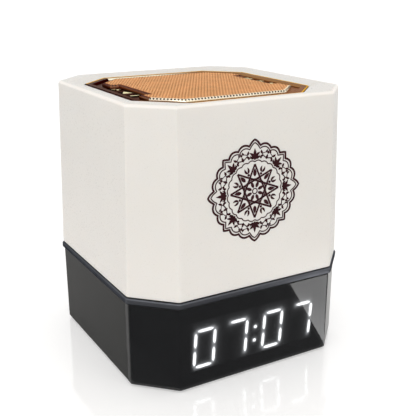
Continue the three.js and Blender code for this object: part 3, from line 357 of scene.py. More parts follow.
def perforated(cell, pitch, count, material):
    """A field of six-sided punched cells. Every other row is set off by half a pitch."""
    tree = Tree("perforated", Pitch="Float", Count="Int")
    spacing, number = tree.given["Pitch"], tree.given["Count"]
    width = tree.math("MULTIPLY", tree.math("SUBTRACT", number, 1), spacing)
    depth = tree.math("MULTIPLY", width, math.sqrt(3))
    field = tree.out("GeometryNodeMeshGrid", Size_X=width, Size_Y=depth, Vertices_X=number, Vertices_Y=number)
    half = tree.math("MULTIPLY", spacing, 0.5)
    step = tree.out("ShaderNodeCombineXYZ", X=half, Y=tree.math("MULTIPLY", half, math.sqrt(3)))
    both = tree.node("GeometryNodeJoinGeometry", Geometry=field)
    tree.put(both.inputs[0], tree.out("GeometryNodeTransform", Geometry=field, Translation=step))
    cells = tree.out("GeometryNodeInstanceOnPoints", Points=both.outputs[0], Instance=tree.given["Geometry"])
    whole = tree.out("GeometryNodeRealizeInstances", Geometry=cells)
    sewn = tree.out("GeometryNodeMergeByDistance", Geometry=whole, Distance=pitch * SEW_SHARE)
    return tree.run(cell, sewn, material, Pitch=pitch, Count=count)


def along_rim(line, spacing, radius, material):
    """Discs at even steps along a closed line, tilted outwards."""
    tree = Tree("along_rim", Spacing="Float", Radius="Float")
    curve = tree.out("GeometryNodeMeshToCurve", Mesh=tree.given["Geometry"])
    even = tree.out("GeometryNodeResampleCurve", mode="LENGTH", Curve=curve, Length=tree.given["Spacing"])
    turn = tree.out("FunctionNodeAlignRotationToVector", axis="X", pivot_axis="Z",
                    Vector=tree.out("GeometryNodeInputTangent"))
    disc = tree.out("GeometryNodeMeshCircle", fill_type="NGON", Radius=tree.given["Radius"], Vertices=8)
    tilted = tree.out("GeometryNodeTransform", Geometry=disc, Rotation=(math.pi / 4, 0, 0))
    holes = tree.out("GeometryNodeInstanceOnPoints", Points=even, Instance=tilted, Rotation=turn)
    return tree.run(line, holes, material, Spacing=spacing, Radius=radius)


# Materials

def tinted(colour, share):
    return tuple(min(1.0, c * share) for c in colour)


class Finish(Nodes):
    """A node material on Object coordinates, built up from small steps."""

    def __init__(self, name, colour, roughness, **sockets):
        self.material = bpy.data.materials.new(name)
        self.material.use_nodes = True
        super().__init__(self.material.node_tree)
        self.shader = self.tree.nodes["Principled BSDF"]
        self.place = self.node("ShaderNodeTexCoord").outputs["Object"]
        self.set(Base_Color=colour, Roughness=roughness, **sockets)

    def set(self, **sockets):
        """Sets the shader's own sockets."""
        for name, value in sockets.items():
            self.put(self.shader.inputs[name.replace("_", " ")], value)

    def noise(self, size, detail=3.0, stretch=(1, 1, 1)):
        """Noise whose patches are about size metres across."""
        place = self.node("ShaderNodeMapping", Vector=self.place, Scale=stretch).outputs["Vector"]
        return self.node("ShaderNodeTexNoise", Vector=place, Scale=1 / size, Detail=detail,
                         Roughness=0.55).outputs["Fac"]

    def ramp(self, value, *stops):
        """A colour ramp from stops of position and colour."""
        node = self.node("ShaderNodeValToRGB", value)
        elements = node.color_ramp.elements
        while len(elements) < len(stops):
            elements.new(0.5)
        for element, (position, colour) in zip(elements, stops):
            element.position = position
            element.color = (*colour, 1)
        return node.outputs["Color"]

    def mix(self, factor, a, b, blend="MIX"):
        return self.node("ShaderNodeMix", data_type="RGBA", blend_type=blend, Factor=factor, A=a,
                         B=b).outputs["Result"]

    def axis(self, name):
        return self.node("ShaderNodeSeparateXYZ", self.place).outputs[name]

    def edge_distance(self, half, leg):
        """Distance to the outline of a chamfered square, negative inside it."""
        across = self.math("ABSOLUTE", self.axis("X"), 0.0)
        along = self.math("ABSOLUTE", self.axis("Y"), 0.0)
        flats = self.math("SUBTRACT", self.math("MAXIMUM", across, along), half)
        both = self.math("MULTIPLY", self.math("ADD", across, along), DIAGONAL)
        return self.math("MAXIMUM", flats, self.math("SUBTRACT", both, (2 * half - leg) * DIAGONAL))

    def mottle(self, value, colour, low, high, end=0.7):
        """Varies the colour between two shares of itself."""
        self.set(Base_Color=self.ramp(value, (0.3, tinted(colour, low)), (end, tinted(colour, high))))

    def bump(self, height, distance):
        self.set(Normal=self.node("ShaderNodeBump", Height=height, Distance=distance).outputs["Normal"])

    def grain(self, fine, low, high, depth=None):
        """Fine noise in the roughness and, where it has a depth, in the height."""
        self.set(Roughness=self.spread(fine, low, high))
        if depth:
            self.bump(fine, depth)

    def glow(self, colour, strength):
        self.set(Emission_Color=colour, Emission_Strength=strength)


def moulded(name, colour, roughness, grain=0.25 * MM, depth=0.01 * MM, **sockets):
    """Moulded plastic with a fine spark texture and a slow change of tone."""
    finish = Finish(name, colour, roughness, **sockets)
    finish.mottle(finish.noise(18 * MM, detail=2), colour, 0.93, 1.06)
    finish.grain(finish.noise(grain, detail=4), roughness * 0.85, roughness * 1.15, depth)
    return finish.material


def metal(name, colour, roughness, stretch=(1, 1, 1), edge=None):
    """Plated metal with faint lines or spots and a little tarnish. Edge is its tint at a glance."""
    finish = Finish(name, colour, roughness, Metallic=1.0, Specular_Tint=edge or colour)
    finish.mottle(finish.noise(7 * MM), colour, 0.88, 1.05)
    finish.grain(finish.noise(0.4 * MM, stretch=stretch), roughness * 0.8, roughness * 1.3, 0.004 * MM)
    return finish.material


MILK = (0.79, 0.765, 0.725)
GOLD = (0.86, 0.57, 0.19)
ROSE = (0.94, 0.60, 0.35)
INK = (0.04, 0.008, 0.011)


def milk_plastic():
    finish = Finish("milk_shade", MILK, 0.3, IOR=1.45, Subsurface_Weight=0.35, Subsurface_Scale=3 * MM,
                    Subsurface_Radius=(1.0, 0.85, 0.7))
    finish.mottle(finish.noise(35 * MM, detail=2), MILK, 0.985, 1.012)
    finish.grain(finish.noise(0.6 * MM), 0.26, 0.34, 0.002 * MM)
    # A faint painted glow near the foot, and a painted highlight along the rounded upper edge, both as emission
    top, reach = SHADE_HIGH.z, 50 * MM
    low = finish.spread(finish.axis("Z"), 0.055, 0.0, start=SHADE_LOW.z, end=SHADE_LOW.z + reach)
    high = finish.spread(finish.axis("Z"), 0.0, 0.14, start=top - 1.5 * MM, end=top - 0.9 * MM)
    edge = finish.edge_distance(HALF - SHADE_LEAN, CHAMFER_LEG - SHADE_LEAN * LEG_TAPER)
    outside = finish.spread(edge, 0.0, 1.0, start=-1.1 * MM, end=-0.6 * MM)
    finish.glow((1.0, 0.9, 0.85), finish.math("ADD", low, finish.math("MULTIPLY", high, outside)))
    return finish.material


def smoked_plastic():
    """Dark panel: what glows behind it shows through, and the rest stays black."""
    finish = Finish("smoked_window", (0.006, 0.0065, 0.0075), 0.03, Alpha=0.8)
    slow = finish.noise(22 * MM, detail=2)
    finish.set(Base_Color=finish.ramp(slow, (0.3, (0.005, 0.0055, 0.0065)), (0.7, (0.007, 0.0075, 0.0085))))
    finish.grain(finish.noise(1.2 * MM, detail=2), 0.02, 0.045)
    return finish.material


def bezel_gilt():
    """Gilt plating with painted reflections: dark at the left end, brown in front and at the right, golden at
    the back.
    """
    finish = Finish("bezel_gilt", GOLD, 0.14, Metallic=1.0, Specular_Tint=(0.5, 0.3, 0.2))
    # The colours by place are painted reflections, not the plating's own tone. The noise below is random tone.
    dark, brown, end, golden = (0.02, 0.008, 0.006), (0.34, 0.155, 0.06), (0.12, 0.045, 0.025), (0.6, 0.42, 0.2)
    across = finish.spread(finish.axis("X"), 0.0, 1.0, start=-42 * MM, end=42 * MM)
    front = finish.ramp(across, (0.0, dark), (0.2, dark), (0.28, brown), (0.87, brown), (1.0, end))
    back = finish.ramp(across, (0.0, dark), (0.1, dark), (0.17, golden), (0.8, brown), (1.0, end))
    behind = finish.spread(finish.axis("Y"), 0.0, 1.0, start=10 * MM, end=20 * MM)
    worn = finish.ramp(finish.noise(5 * MM), (0.3, (0.8, 0.78, 0.74)), (0.7, (1.0, 1.0, 1.0)))
    finish.set(Base_Color=finish.mix(1.0, finish.mix(behind, front, back), worn, "MULTIPLY"))
    finish.grain(finish.noise(0.5 * MM), 0.1, 0.2, 0.002 * MM)
    return finish.material


def step_with_painted_highlight():
    """The polished step inside the bezel's brim, with a painted highlight on the left."""
    finish = Finish("bezel_step", GOLD, 0.12, Metallic=1.0, Specular_Tint=(1.0, 0.93, 0.76))
    left = finish.spread(finish.axis("X"), 1.0, 0.0, start=0, end=20 * MM)
    inside = finish.spread(finish.axis("X"), 0.0, 1.0, start=-31 * MM, end=-27 * MM)
    # The lighter left part is a painted highlight.
    highlight_share = finish.math("MULTIPLY", left, inside)
    finish.set(Base_Color=finish.mix(highlight_share, (0.3, 0.14, 0.05), (1.0, 0.93, 0.72)))
    finish.grain(finish.noise(0.5 * MM), 0.08, 0.18)
    return finish.material


def solder_mask(name, colour):
    """Lacquered board with copper runs showing as lighter lines and small tinned pads."""
    finish = Finish(name, colour, 0.35)

    def cells(size, feature, limit):
        node = finish.node("ShaderNodeTexVoronoi", feature=feature, Vector=finish.place, Scale=1 / size)
        return finish.math("LESS_THAN", node.outputs["Distance"], limit)

    runs = cells(3.2 * MM, "DISTANCE_TO_EDGE", 0.06)
    pads = cells(2.4 * MM, "F1", 0.13)
    finish.set(Base_Color=finish.mix(pads, finish.mix(runs, colour, tinted(colour, 2.2)), (0.5, 0.5, 0.48)))
    finish.bump(runs, 0.02 * MM)
    finish.grain(finish.noise(1 * MM), 0.3, 0.42)
    return finish.material


TRIM = metal("trim_ring_grey", (0.13, 0.135, 0.15), 0.42, stretch=(1, 1, 8))
GILT = metal("gilt", GOLD, 0.12)
# A paler copy of the gilt for the key signs: gilt, with their bright glints painted in as colour.
PAINTED_HIGHLIGHT_GILT = metal("pale_gilt", (1.0, 0.92, 0.66), 0.1)
ROSE_GOLD = metal("rose_gold_mesh", ROSE, 0.32)
BEZEL_GILT_PAINTED_REFLECTIONS = bezel_gilt()
# A darker copy of the gilt, painted on the bezel's left end as the dark reflection seen there.
BEZEL_PAINTED_DARK_REFLECTION = metal("bezel_dark", (0.085, 0.04, 0.03), 0.14, edge=(0.26, 0.17, 0.14))
# A pale copy of the grille's edge metal, painted on the rim's front as its bright highlight.
FRONT_EDGE_PAINTED_HIGHLIGHT = metal("grille_front_edge", (1.0, 0.86, 0.68), 0.22)
GRILLE_EDGE = metal("grille_edge", (0.3, 0.13, 0.07), 0.3)
# Near-black discs painted where the rim's holes show only shade.
HOLE_PAINTED_SHADE = moulded("hole_dark", (0.02, 0.01, 0.008), 0.6)


# The shade: a thin-walled cap with rounded upright and top edges

def lean(z):
    return SHADE_LEAN * (z - SHADE_BOTTOM) / (SHADE_TOP - SHADE_BOTTOM)


def shade_profile():
    """The cap's wall: over the rim, down the outside, round the skirt and up the inside."""
    shoulder, low_edge = SHADE_HIGH.z - SHADE_TOP_EASE, SHADE_BOTTOM + 1 * MM
    under = SHADE_TOP - SHADE_WALL
    skirt_inner, skirt_head = SKIRT_INSET + SKIRT_WALL, SHADE_BOTTOM + SKIRT_RISE
    rim = [(lean(shoulder) + SHADE_TOP_EASE - x, z) for x, z in arc(shoulder, SHADE_TOP_EASE, 90, 0, 8)]
    return rim + [
        (lean(shoulder - 1 * MM), shoulder - 1 * MM), (lean(low_edge), low_edge),
        (0.05 * MM, SHADE_BOTTOM + 0.2 * MM), (0.3 * MM, SHADE_BOTTOM), (SKIRT_INSET, SHADE_BOTTOM),
        (SKIRT_INSET, SHADE_LOW.z), (skirt_inner, SHADE_LOW.z), (skirt_inner, skirt_head),
        (lean(skirt_head) + SHADE_WALL, skirt_head + SKIRT_WALL),
        (lean(under) + SHADE_WALL, under - SHADE_INNER_EASE),
        (lean(under) + SHADE_WALL + SHADE_INNER_EASE, under)]


def shade():
    """The cap is swept as one closed wall, with its dish, the bezel's seat and the opening inside."""
    seat, top, ease = SHADE_TOP - BEZEL_RECESS, SHADE_HIGH.z, SHADE_SEAT_EASE
    reach = HALF - lean(top) - SHADE_TOP_EASE - SHADE_RIM_WIDTH - BEZEL_HALF
    dish = octagon_rings(BEZEL_PLAN, [
        (OPENING_INSET, seat), (-BEZEL_GAP, seat), (-BEZEL_GAP, SHADE_TOP - ease),
        (-BEZEL_GAP - ease, SHADE_TOP + 0.03 * MM), (-0.95 * reach, top - 0.07 * MM),
        (-reach, top - 0.01 * MM), (-reach - ease, top)])
    opening = [(x, y, SHADE_TOP - SHADE_WALL) for x, y, _ in dish[0]]
    piece = loft("shade_body", dish + octagon_rings(SHADE_PLAN, shade_profile()) + [opening], milk_plastic())
    settle(smooth(piece, 25), "lamp_shade")


def trim_ring():
    """The ring between the base and the shade, with rounded outer edges."""
    proud = RING_HIGH.x - HALF
    outer = (arc(RING_LOW.z + RING_EASE, RING_EASE, 270, 180, 5)
             + arc(RING_HIGH.z - RING_EASE, RING_EASE, 180, 90, 5))
    profile = [(x + RING_EASE - proud, z) for x, z in outer]
    profile += [(RING_DEPTH - proud, RING_HIGH.z), (RING_DEPTH - proud, RING_LOW.z)]
    piece = loft("trim_ring_body", octagon_rings(SHADE_PLAN, profile), TRIM)
    settle(smooth(piece), "trim_ring")


def window():
    """The smoked panel, bent round the front and both chamfers."""
    foot, back = BASE_INSET + BASE_DRAFT, BASE_INSET + WINDOW_THICKNESS
    high, low = WINDOW_HIGH.z - WINDOW_BEVEL, WINDOW_LOW.z + WINDOW_BEVEL
    profile = [(x + BASE_INSET + WINDOW_BEVEL, z) for x, z in arc(high, WINDOW_BEVEL, 90, 180, 4)]
    profile += [(BASE_INSET, high - FLAT_MARGIN), (foot, low + FLAT_MARGIN)]
    profile += [(x + foot + WINDOW_BEVEL, z) for x, z in arc(low, WINDOW_BEVEL, 180, 270, 4)]
    profile += [(back, WINDOW_LOW.z), (back, WINDOW_HIGH.z)]
    piece = loft("window_panel", octagon_rings(SHADE_PLAN, profile), smoked_plastic())
    with opened(piece.data) as bm:
        cut(bm, (0, WINDOW_HIGH.y, 0), (0, 1, 0), True)
        close_holes(bm)
    settle(smooth(piece), "clock_window")


def bezel_bead():
    """A fine bead all round the bezel."""
    profile = [(BEAD_INSET - x, z) for x, z in arc(BEAD_HEIGHT, BEAD_RADIUS, 0, 360, 8)[:-1]]
    piece = loft("bezel_bead", octagon_rings(BEZEL_PLAN, profile, steps=4), GILT)
    # The bead's left end gets the painted dark reflection.
    paint_faces(piece, BEZEL_PAINTED_DARK_REFLECTION, lambda middle: middle.x < 0.95 * BEZEL_LOW.x)
    settle(smooth(piece, 60))


def half_band(key_side, flat, leg):
    """A quarter of the bezel's plan with its mirror images: places beside and beyond the keys."""
    quarter = [(key_side, 0), (key_side, NOTCH_REACH), (flat, NOTCH_REACH + 0.1 * MM), (flat, flat - leg),
               (flat - leg, flat)]
    upper = quarter + [(-x, y) for x, y in reversed(quarter)]
    return upper + [(-x, -y) for x, y in upper[1:-1]]


def bezel_face():
    """The bezel's flat brim, a step down inside it and the band to the grille, with room for the keys."""
    inner = GRILLE_REACH + 0.1 * MM
    beside_keys = KEY_HIGH.x - 0.5 * MM

    def plan(inset):
        return half_band(BEZEL_HALF - inset, BEZEL_HALF - inset, BEZEL_LEG - inset * LEG_TAPER)

    def hem(sunk):
        return half_band(beside_keys - sunk, inner - 0.4 * sunk, BEZEL_LEG - (BEZEL_HALF - inner) * LEG_TAPER)

    levels = [(plan(BRIM_INSET), BEZEL_FOOT), (plan(BRIM_INSET), BEZEL_TOP), (plan(BRIM_WIDTH), BEZEL_TOP),
              (plan(BRIM_WIDTH + BEZEL_TOP - BAND_TOP), BAND_TOP), (hem(0), BAND_TOP - 0.05 * MM),
              (hem(0.2 * MM), BAND_TOP - 0.3 * MM), (hem(0.2 * MM), BEZEL_FOOT)]
    piece = loft("bezel_face", [[(x, y, z) for x, y in points] for points, z in levels], BEZEL_GILT_PAINTED_REFLECTIONS)
    step = (BEZEL_TOP + BAND_TOP) / 2
    # The step gets a painted highlight.
    paint_faces(piece, step_with_painted_highlight(), lambda middle: abs(middle.z - step) < 0.05 * MM)
    # The left end gets the painted dark reflection.
    paint_faces(piece, BEZEL_PAINTED_DARK_REFLECTION, lambda middle: middle.x < DARK_REFLECTION_END and middle.y > DARK_REFLECTION_END)
    settle(piece)


shade()
trim_ring()
window()
bezel_bead()
bezel_face()

dress(moulded("base_satin_black", (0.02, 0.02, 0.019), 0.42, Specular_IOR_Level=0.13),
      "base_housing", "bottom_cover")
dress(BEZEL_GILT_PAINTED_REFLECTIONS, "top_bezel")
# The keys' gilt is darkened to paint the dark reflections on their tops.
dress(metal("key_dark_gilt", (0.06, 0.022, 0.015), 0.16), *KEYS)
dress(moulded("white_housing_plastic", (0.74, 0.74, 0.71), 0.45), "speaker_housing", "light_board")
dress(metal("plated_steel", (0.55, 0.56, 0.57), 0.3),
      "speaker_frame", "charging_socket", "card_socket", *all_with("_screw_"))
dress(moulded("black_rubber", (0.025, 0.025, 0.025), 0.8, grain=0.5 * MM, depth=0.02 * MM),
      "speaker_gasket", "speaker_surround", "speaker_lead", *all_with("foot_"))
dress(moulded("pressed_paper_cone", (0.02, 0.02, 0.021), 0.9, grain=0.3 * MM, depth=0.03 * MM), "speaker_cone")
dress(moulded("ferrite", (0.05, 0.05, 0.053), 0.6, grain=0.6 * MM, depth=0.03 * MM), "speaker_magnet")
dress(moulded("black_plastic", (0.03, 0.03, 0.032), 0.5), "power_switch", "power_knob")
dress(solder_mask("green_board", (0.015, 0.11, 0.045)), "clock_board", "main_board", *all_with("key_board_"))
dress(moulded("cell_wrap", (0.02, 0.13, 0.4), 0.3), "battery_cell")


# Flat strokes and leaves, for prints and signs

class Drawing:
    """Strokes drawn in a plane and gathered into one thin solid."""

    def __init__(self, thickness):
        self.thickness = thickness
        self.vertices = []
        self.faces = []

    def strip(self, left, right, closed=False):
        start, count = len(self.vertices), len(left)
        for (lx, ly), (rx, ry) in zip(left, right):
            self.vertices += [(lx, ly, 0), (rx, ry, 0), (rx, ry, self.thickness), (lx, ly, self.thickness)]
        for i in range(count if closed else count - 1):
            a, b = start + 4 * i, start + 4 * ((i + 1) % count)
            self.faces += [(a + k, a + (k + 1) % 4, b + (k + 1) % 4, b + k) for k in range(4)]
        if not closed:
            end = start + 4 * (count - 1)
            self.faces += [(start, start + 1, start + 2, start + 3), (end + 3, end + 2, end + 1, end)]

    def stroke(self, points, width, closed=False):
        """A line along points. The width is a number, or a function of the share of the way along."""
        points = [Vector(p) for p in points]
        count = len(points)
        left, right = [], []
        for i, point in enumerate(points):
            before = points[i - 1] if closed or i else points[0]
            after = points[(i + 1) % count] if closed or i < count - 1 else points[-1]
            along = (after - before).normalized()
            half = (width(i / (count - 1)) if callable(width) else width) / 2
            across = Vector((-along.y, along.x)) * half
            left.append(point + across)
            right.append(point - across)
        self.strip(left, right, closed)

    def leaf(self, base, angle, length, width, bend=0.0):
        """A pointed leaf that starts at base and turns by bend on its way."""
        steps = 9
        points = [Vector(base)]
        for i in range(steps):
            direction = angle + bend * (i + 0.5) / steps
            points.append(points[-1] + Vector((math.cos(direction), math.sin(direction))) * length / steps)
        self.stroke(points, lambda t: width * (0.06 + math.sin(math.pi * t ** 0.75)))

    def ring(self, radius, width, steps=24, wave=0.0, waves=0):
        """A ring whose radius may swell in waves."""
        turns = [math.tau * i / steps for i in range(steps)]
        points = [polar(radius + wave * abs(math.sin(waves * turn / 2)), turn) for turn in turns]
        self.stroke(points, width, closed=True)

    def dot(self, middle, radius):
        """A filled disc, as a strip between its upper and lower half."""
        steps = 12
        upper, lower = [], []
        for i in range(steps + 1):
            x, lift = polar(radius, math.pi * i / steps)
            lift = max(lift, radius * 0.02)
            upper.append((middle[0] + x, middle[1] + lift))
            lower.append((middle[0] + x, middle[1] - lift))
        self.strip(upper, lower)

    def piece(self, name, material=None):
        return mesh_object(name, self.vertices, self.faces, material, merge=1e-9)


# The printed medallion on the shade's front: a lobed border, a ring of palmettes and a star of eight

MEDALLION_MIDDLE = Vector((-2.3, 80.3)) * MM
PRINT_THICKNESS = 0.05 * MM
PRINT_SUNK = 0.01 * MM
PRINT_SQUASH = 0.965
FINIAL_END, LOBE_END, STEP_START = 8, 24, 39


def border_radius(angle):
    """The lobed outline: a finial on each axis, two lobes beside it and a square step on each diagonal."""
    def swell(start, end):
        return math.sin(math.pi * (from_axis - start) / (end - start))

    from_axis = abs((math.degrees(angle) + 45) % 90 - 45)
    if from_axis < FINIAL_END:
        return (18.9 + 2.5 * (1 - from_axis / FINIAL_END) ** 1.3 + 0.5 * swell(0, FINIAL_END)) * MM
    if from_axis < LOBE_END:
        return (18.9 - 0.2 * (from_axis - FINIAL_END) / 16 + 1.15 * swell(FINIAL_END, LOBE_END) ** 0.8) * MM
    if from_axis < STEP_START:
        return (18.7 + 1.1 * swell(LOBE_END, STEP_START) ** 0.8) * MM
    return (18.7 + 1.9 * (from_axis - STEP_START) / 6) * MM


def medallion_border():
    drawing = Drawing(PRINT_THICKNESS)
    turns = [math.tau * i / 360 for i in range(360)]
    for inset, width in ((0, 0.85 * MM), (1.3 * MM, 0.5 * MM)):
        drawing.stroke([polar(border_radius(turn) - inset, turn) for turn in turns], width, closed=True)
    drawing.ring(12.3 * MM, 0.46 * MM, steps=288, wave=0.55 * MM, waves=24)
    return drawing.piece("medallion_border")


def palmette():
    """Seven leaves in a fan, with a berry at the foot."""
    drawing = Drawing(PRINT_THICKNESS)
    foot = (13.9 * MM, 0)
    drawing.leaf(foot, 0, 3.9 * MM, 1.3 * MM)
    for side in (-1, 1):
        drawing.leaf(foot, side * 0.6, 3.4 * MM, 1.15 * MM, bend=side * 0.5)
        drawing.leaf(foot, side * 1.2, 2.8 * MM, 1.0 * MM, bend=side * 0.8)
        drawing.leaf((13.6 * MM, side * 0.4 * MM), side * 1.7, 2.5 * MM, 0.8 * MM, bend=-side * 1.6)
    drawing.dot((13.5 * MM, 0), 0.5 * MM)
    return drawing.piece("palmette")


def scroll():
    """A pair of curling stems with leaves between two palmettes."""
    drawing = Drawing(PRINT_THICKNESS)
    middle = math.pi / 8
    for side in (-1, 1):
        shares = [i / 12 for i in range(13)]
        stem = [polar((14.2 + 2.2 * t) * MM, middle + side * 0.16 * math.sin(2.6 * t)) for t in shares]
        drawing.stroke(stem, lambda t: (0.5 - 0.2 * t) * MM)
        drawing.leaf(stem[4], middle + side * 1.9, 1.9 * MM, 0.85 * MM, bend=side * 0.7)
        drawing.leaf(stem[8], middle + side * 1.2, 1.9 * MM, 0.95 * MM, bend=-side * 0.9)
        drawing.leaf(stem[12], middle - side * 0.9, 1.6 * MM, 0.8 * MM, bend=side * 1.2)
        drawing.dot(polar(14.0 * MM, middle + side * 0.19), 0.42 * MM)
    drawing.leaf(polar(13.7 * MM, middle), middle, 2.3 * MM, 1.0 * MM)
    drawing.leaf(polar(16.0 * MM, middle), middle, 1.5 * MM, 1.0 * MM)
    return drawing.piece("scroll")


def star():
    """An eight-pointed star of interlaced bands round a rosette."""
    drawing = Drawing(PRINT_THICKNESS)
    points = 8
    reach = 11.3 * MM
    for i in range(points):
        a, b = (Vector(polar(reach, math.tau * k / points)) for k in (i, i + 3))
        turn, between = math.tau * i / points, math.tau * (i + 0.5) / points
        drawing.stroke([a.lerp(b, t / 8) for t in range(9)], 0.8 * MM)
        drawing.leaf(polar(1.5 * MM, between), between, 3.2 * MM, 1.3 * MM)
        drawing.leaf(polar(6.2 * MM, turn), turn, 3.4 * MM, 1.5 * MM)
        for side in (-1, 1):
            drawing.leaf(polar(8.3 * MM, between), between + side * 0.9, 2.8 * MM, 0.9 * MM, bend=-side * 1.3)
        drawing.dot(polar(7.6 * MM, between), 0.55 * MM)
    drawing.ring(5.1 * MM, 0.5 * MM, steps=64)
    drawing.ring(1.1 * MM, 0.45 * MM)
    return drawing.piece("star")


def printed_ink():
    finish = Finish("printed_ink", INK, 0.5, Specular_IOR_Level=0.15)
    fine = finish.noise(0.35 * MM)
    finish.mottle(fine, INK, 0.8, 1.35, end=0.75)
    finish.grain(fine, 0.42, 0.6)
    return finish.material


def medallion():
    """The print, laid on the leaning front face of the shade."""
    def place(u, v, w):
        height = MEDALLION_MIDDLE.y + v * PRINT_SQUASH
        return (MEDALLION_MIDDLE.x + u, -(HALF - lean(height)) - w + PRINT_SUNK, height)

    ink = printed_ink()
    ring, scrolls = around(palmette(), 8, ink), around(scroll(), 8, ink)
    piece = join_meshes("medallion_print", medallion_border(), ring, scrolls, star())
    piece.data.materials.append(ink)
    for polygon in piece.data.polygons:
        polygon.material_index = 0
    settle(lay(piece, place))


medallion()


# The clock behind the window: a dark block with lit bars and their glow

DIGIT_HEIGHT = 17.6 * MM
DIGIT_WIDTH = 10.6 * MM
STROKE = 1.6 * MM
DIGIT_PITCH = 15.7 * MM
PAIR_SPREAD = 33.6 * MM
SLANT_SHARE = 0.075
SEGMENT_GAP = 0.75 * MM
LIT_WIDTH = 1.2 * MM
COLON_SPREAD = 6.2 * MM
BAR_RAISE = 0.3 * MM
BLOCK_CELL = 0.5 * MM
CLOCK_MIDDLE = (MODULE_LOW.z + MODULE_HIGH.z) / 2
DIGITS_SHIFT = Vector((0.35, -1.3)) * MM
CLOCK_FACE = MODULE_LOW.y + BAR_RAISE
SHOWN = "0707"
LIT_BARS = {"0": "abcdef", "7": "abc"}

# Each bar's middle across and up, and whether it stands
BAR_SIDE = (DIGIT_WIDTH - STROKE) / 2
BAR_STOREY = (DIGIT_HEIGHT - STROKE) / 2
BAR_PLACES = {"a": (0, BAR_STOREY, False), "d": (0, -BAR_STOREY, False),
              "b": (BAR_SIDE, BAR_STOREY / 2, True), "c": (BAR_SIDE, -BAR_STOREY / 2, True),
              "f": (-BAR_SIDE, BAR_STOREY / 2, True), "e": (-BAR_SIDE, -BAR_STOREY / 2, True)}


def bar_spine(middle, letter):
    """The two ends of a bar, with the digit's slant."""
    x, z, upright = BAR_PLACES[letter]
    run = (BAR_STOREY if upright else DIGIT_WIDTH - STROKE) / 2 - SEGMENT_GAP - STROKE * 0.1
    ends = [(x, z - run), (x, z + run)] if upright else [(x - run, z), (x + run, z)]
    return [Vector((middle + u + v * SLANT_SHARE, v)) + DIGITS_SHIFT for u, v in ends]


DIGIT_MIDDLES = [(pair * PAIR_SPREAD + place * DIGIT_PITCH) / 2 for pair in (-1, 1) for place in (-1, 1)]
LIT_SPINES = [bar_spine(middle, letter) for middle, digit in zip(DIGIT_MIDDLES, SHOWN)
              for letter in LIT_BARS[digit]]
COLON_DOTS = [Vector((z * SLANT_SHARE, z)) + DIGITS_SHIFT for z in (-COLON_SPREAD / 2, COLON_SPREAD / 2)]


def bar_width(t):
    """Bars keep their width and end in blunt tips."""
    return LIT_WIDTH * min(1.0, 0.25 + 5 * min(t, 1 - t))


def on_clock_face(u, v, w):
    return (u, CLOCK_FACE - w, CLOCK_MIDDLE + v)


def glow_at(point):
    """Brightness of the halo at a point of the clock's face."""
    nearest = 1.0
    for start, end in LIT_SPINES:
        along = end - start
        share = max(0.0, min(1.0, (point - start).dot(along) / along.length_squared))
        nearest = min(nearest, (point - start - along * share).length)
    for place in COLON_DOTS:
        nearest = min(nearest, (point - place).length)
    reach = max(0.0, nearest - LIT_WIDTH / 2)
    margin = min(1.0, (MODULE_HIGH.x - abs(point.x)) / (2 * MM))
    return (0.62 * math.exp(-reach / (0.45 * MM)) + 0.075 * math.exp(-reach / (2.4 * MM))) * margin


def clock_block(material):
    """The module's body. Its front is a fine grid that carries the halo as an attribute."""
    half_width, half_height = MODULE_HIGH.x, (MODULE_HIGH.z - MODULE_LOW.z) / 2
    columns, rows = round(2 * half_width / BLOCK_CELL), round(2 * half_height / BLOCK_CELL)
    row = columns + 1
    vertices = [(-half_width + i * BLOCK_CELL, -half_height + j * BLOCK_CELL, 0) for j in range(rows + 1)
                for i in range(row)]
    corners = [j * row + i for j in range(rows) for i in range(columns)]
    piece = mesh_object("clock_block", vertices, [(k, k + 1, k + row + 1, k + row) for k in corners], material)
    with opened(piece.data) as bm:
        rim = [edge for edge in bm.edges if edge.is_boundary]
        moved = bmesh.ops.extrude_edge_only(bm, edges=rim)["geom"]
        back = [item for item in moved if isinstance(item, bmesh.types.BMVert)]
        bmesh.ops.translate(bm, verts=back, vec=(0, 0, CLOCK_FACE - MODULE_HIGH.y))
        close_holes(bm)
    glow = piece.data.attributes.new("glow", "FLOAT", "POINT")
    for vertex, value in zip(piece.data.vertices, glow.data):
        value.value = glow_at(Vector(vertex.co[:2])) if vertex.co.z > -1e-6 else 0.0
    return lay(piece, on_clock_face)


def lit_bars(material):
    drawing = Drawing(BAR_RAISE)
    for start, end in LIT_SPINES:
        drawing.stroke([start.lerp(end, i / 16) for i in range(17)], bar_width)
    for place in COLON_DOTS:
        drawing.dot(place, LIT_WIDTH * 0.6)
    return lay(drawing.piece("lit_bars", material), on_clock_face)


def glowing_face():
    """Matt black, with the halo of the bars on it."""
    finish = Finish("clock_face", (0.01, 0.01, 0.011), 0.7)
    finish.grain(finish.noise(0.3 * MM), 0.6, 0.8, 0.01 * MM)
    halo = finish.node("ShaderNodeAttribute", attribute_name="glow").outputs["Fac"]
    finish.glow((0.93, 0.96, 1.0), finish.math("MULTIPLY", halo, 10.0))
    return finish.material


def lit_plastic():
    finish = Finish("lit_bar", (0.9, 0.92, 0.95), 0.4)
    soft = finish.noise(2.5 * MM, detail=1)
    finish.glow((0.97, 0.985, 1.0), finish.spread(soft, 28.0, 32.0))
    finish.grain(soft, 0.35, 0.45)
    return finish.material


for clock_piece in (clock_block(glowing_face()), lit_bars(lit_plastic())):
    settle(clock_piece, "clock_module")


# The grille: a perforated sheet with a rolled rim, notched beside the keys

def offset_outline(points, distance):
    """Moves each side of an outline inwards by a distance."""
    moved = []
    for i, point in enumerate(points):
        before = (point - points[i - 1]).normalized()
        after = (points[(i + 1) % len(points)] - point).normalized()
        inward_a, inward_b = Vector((-before.y, before.x)), Vector((-after.y, after.x))
        middle = (inward_a + inward_b).normalized()
        moved.append(point + middle * distance / middle.dot(inward_a))
    return moved


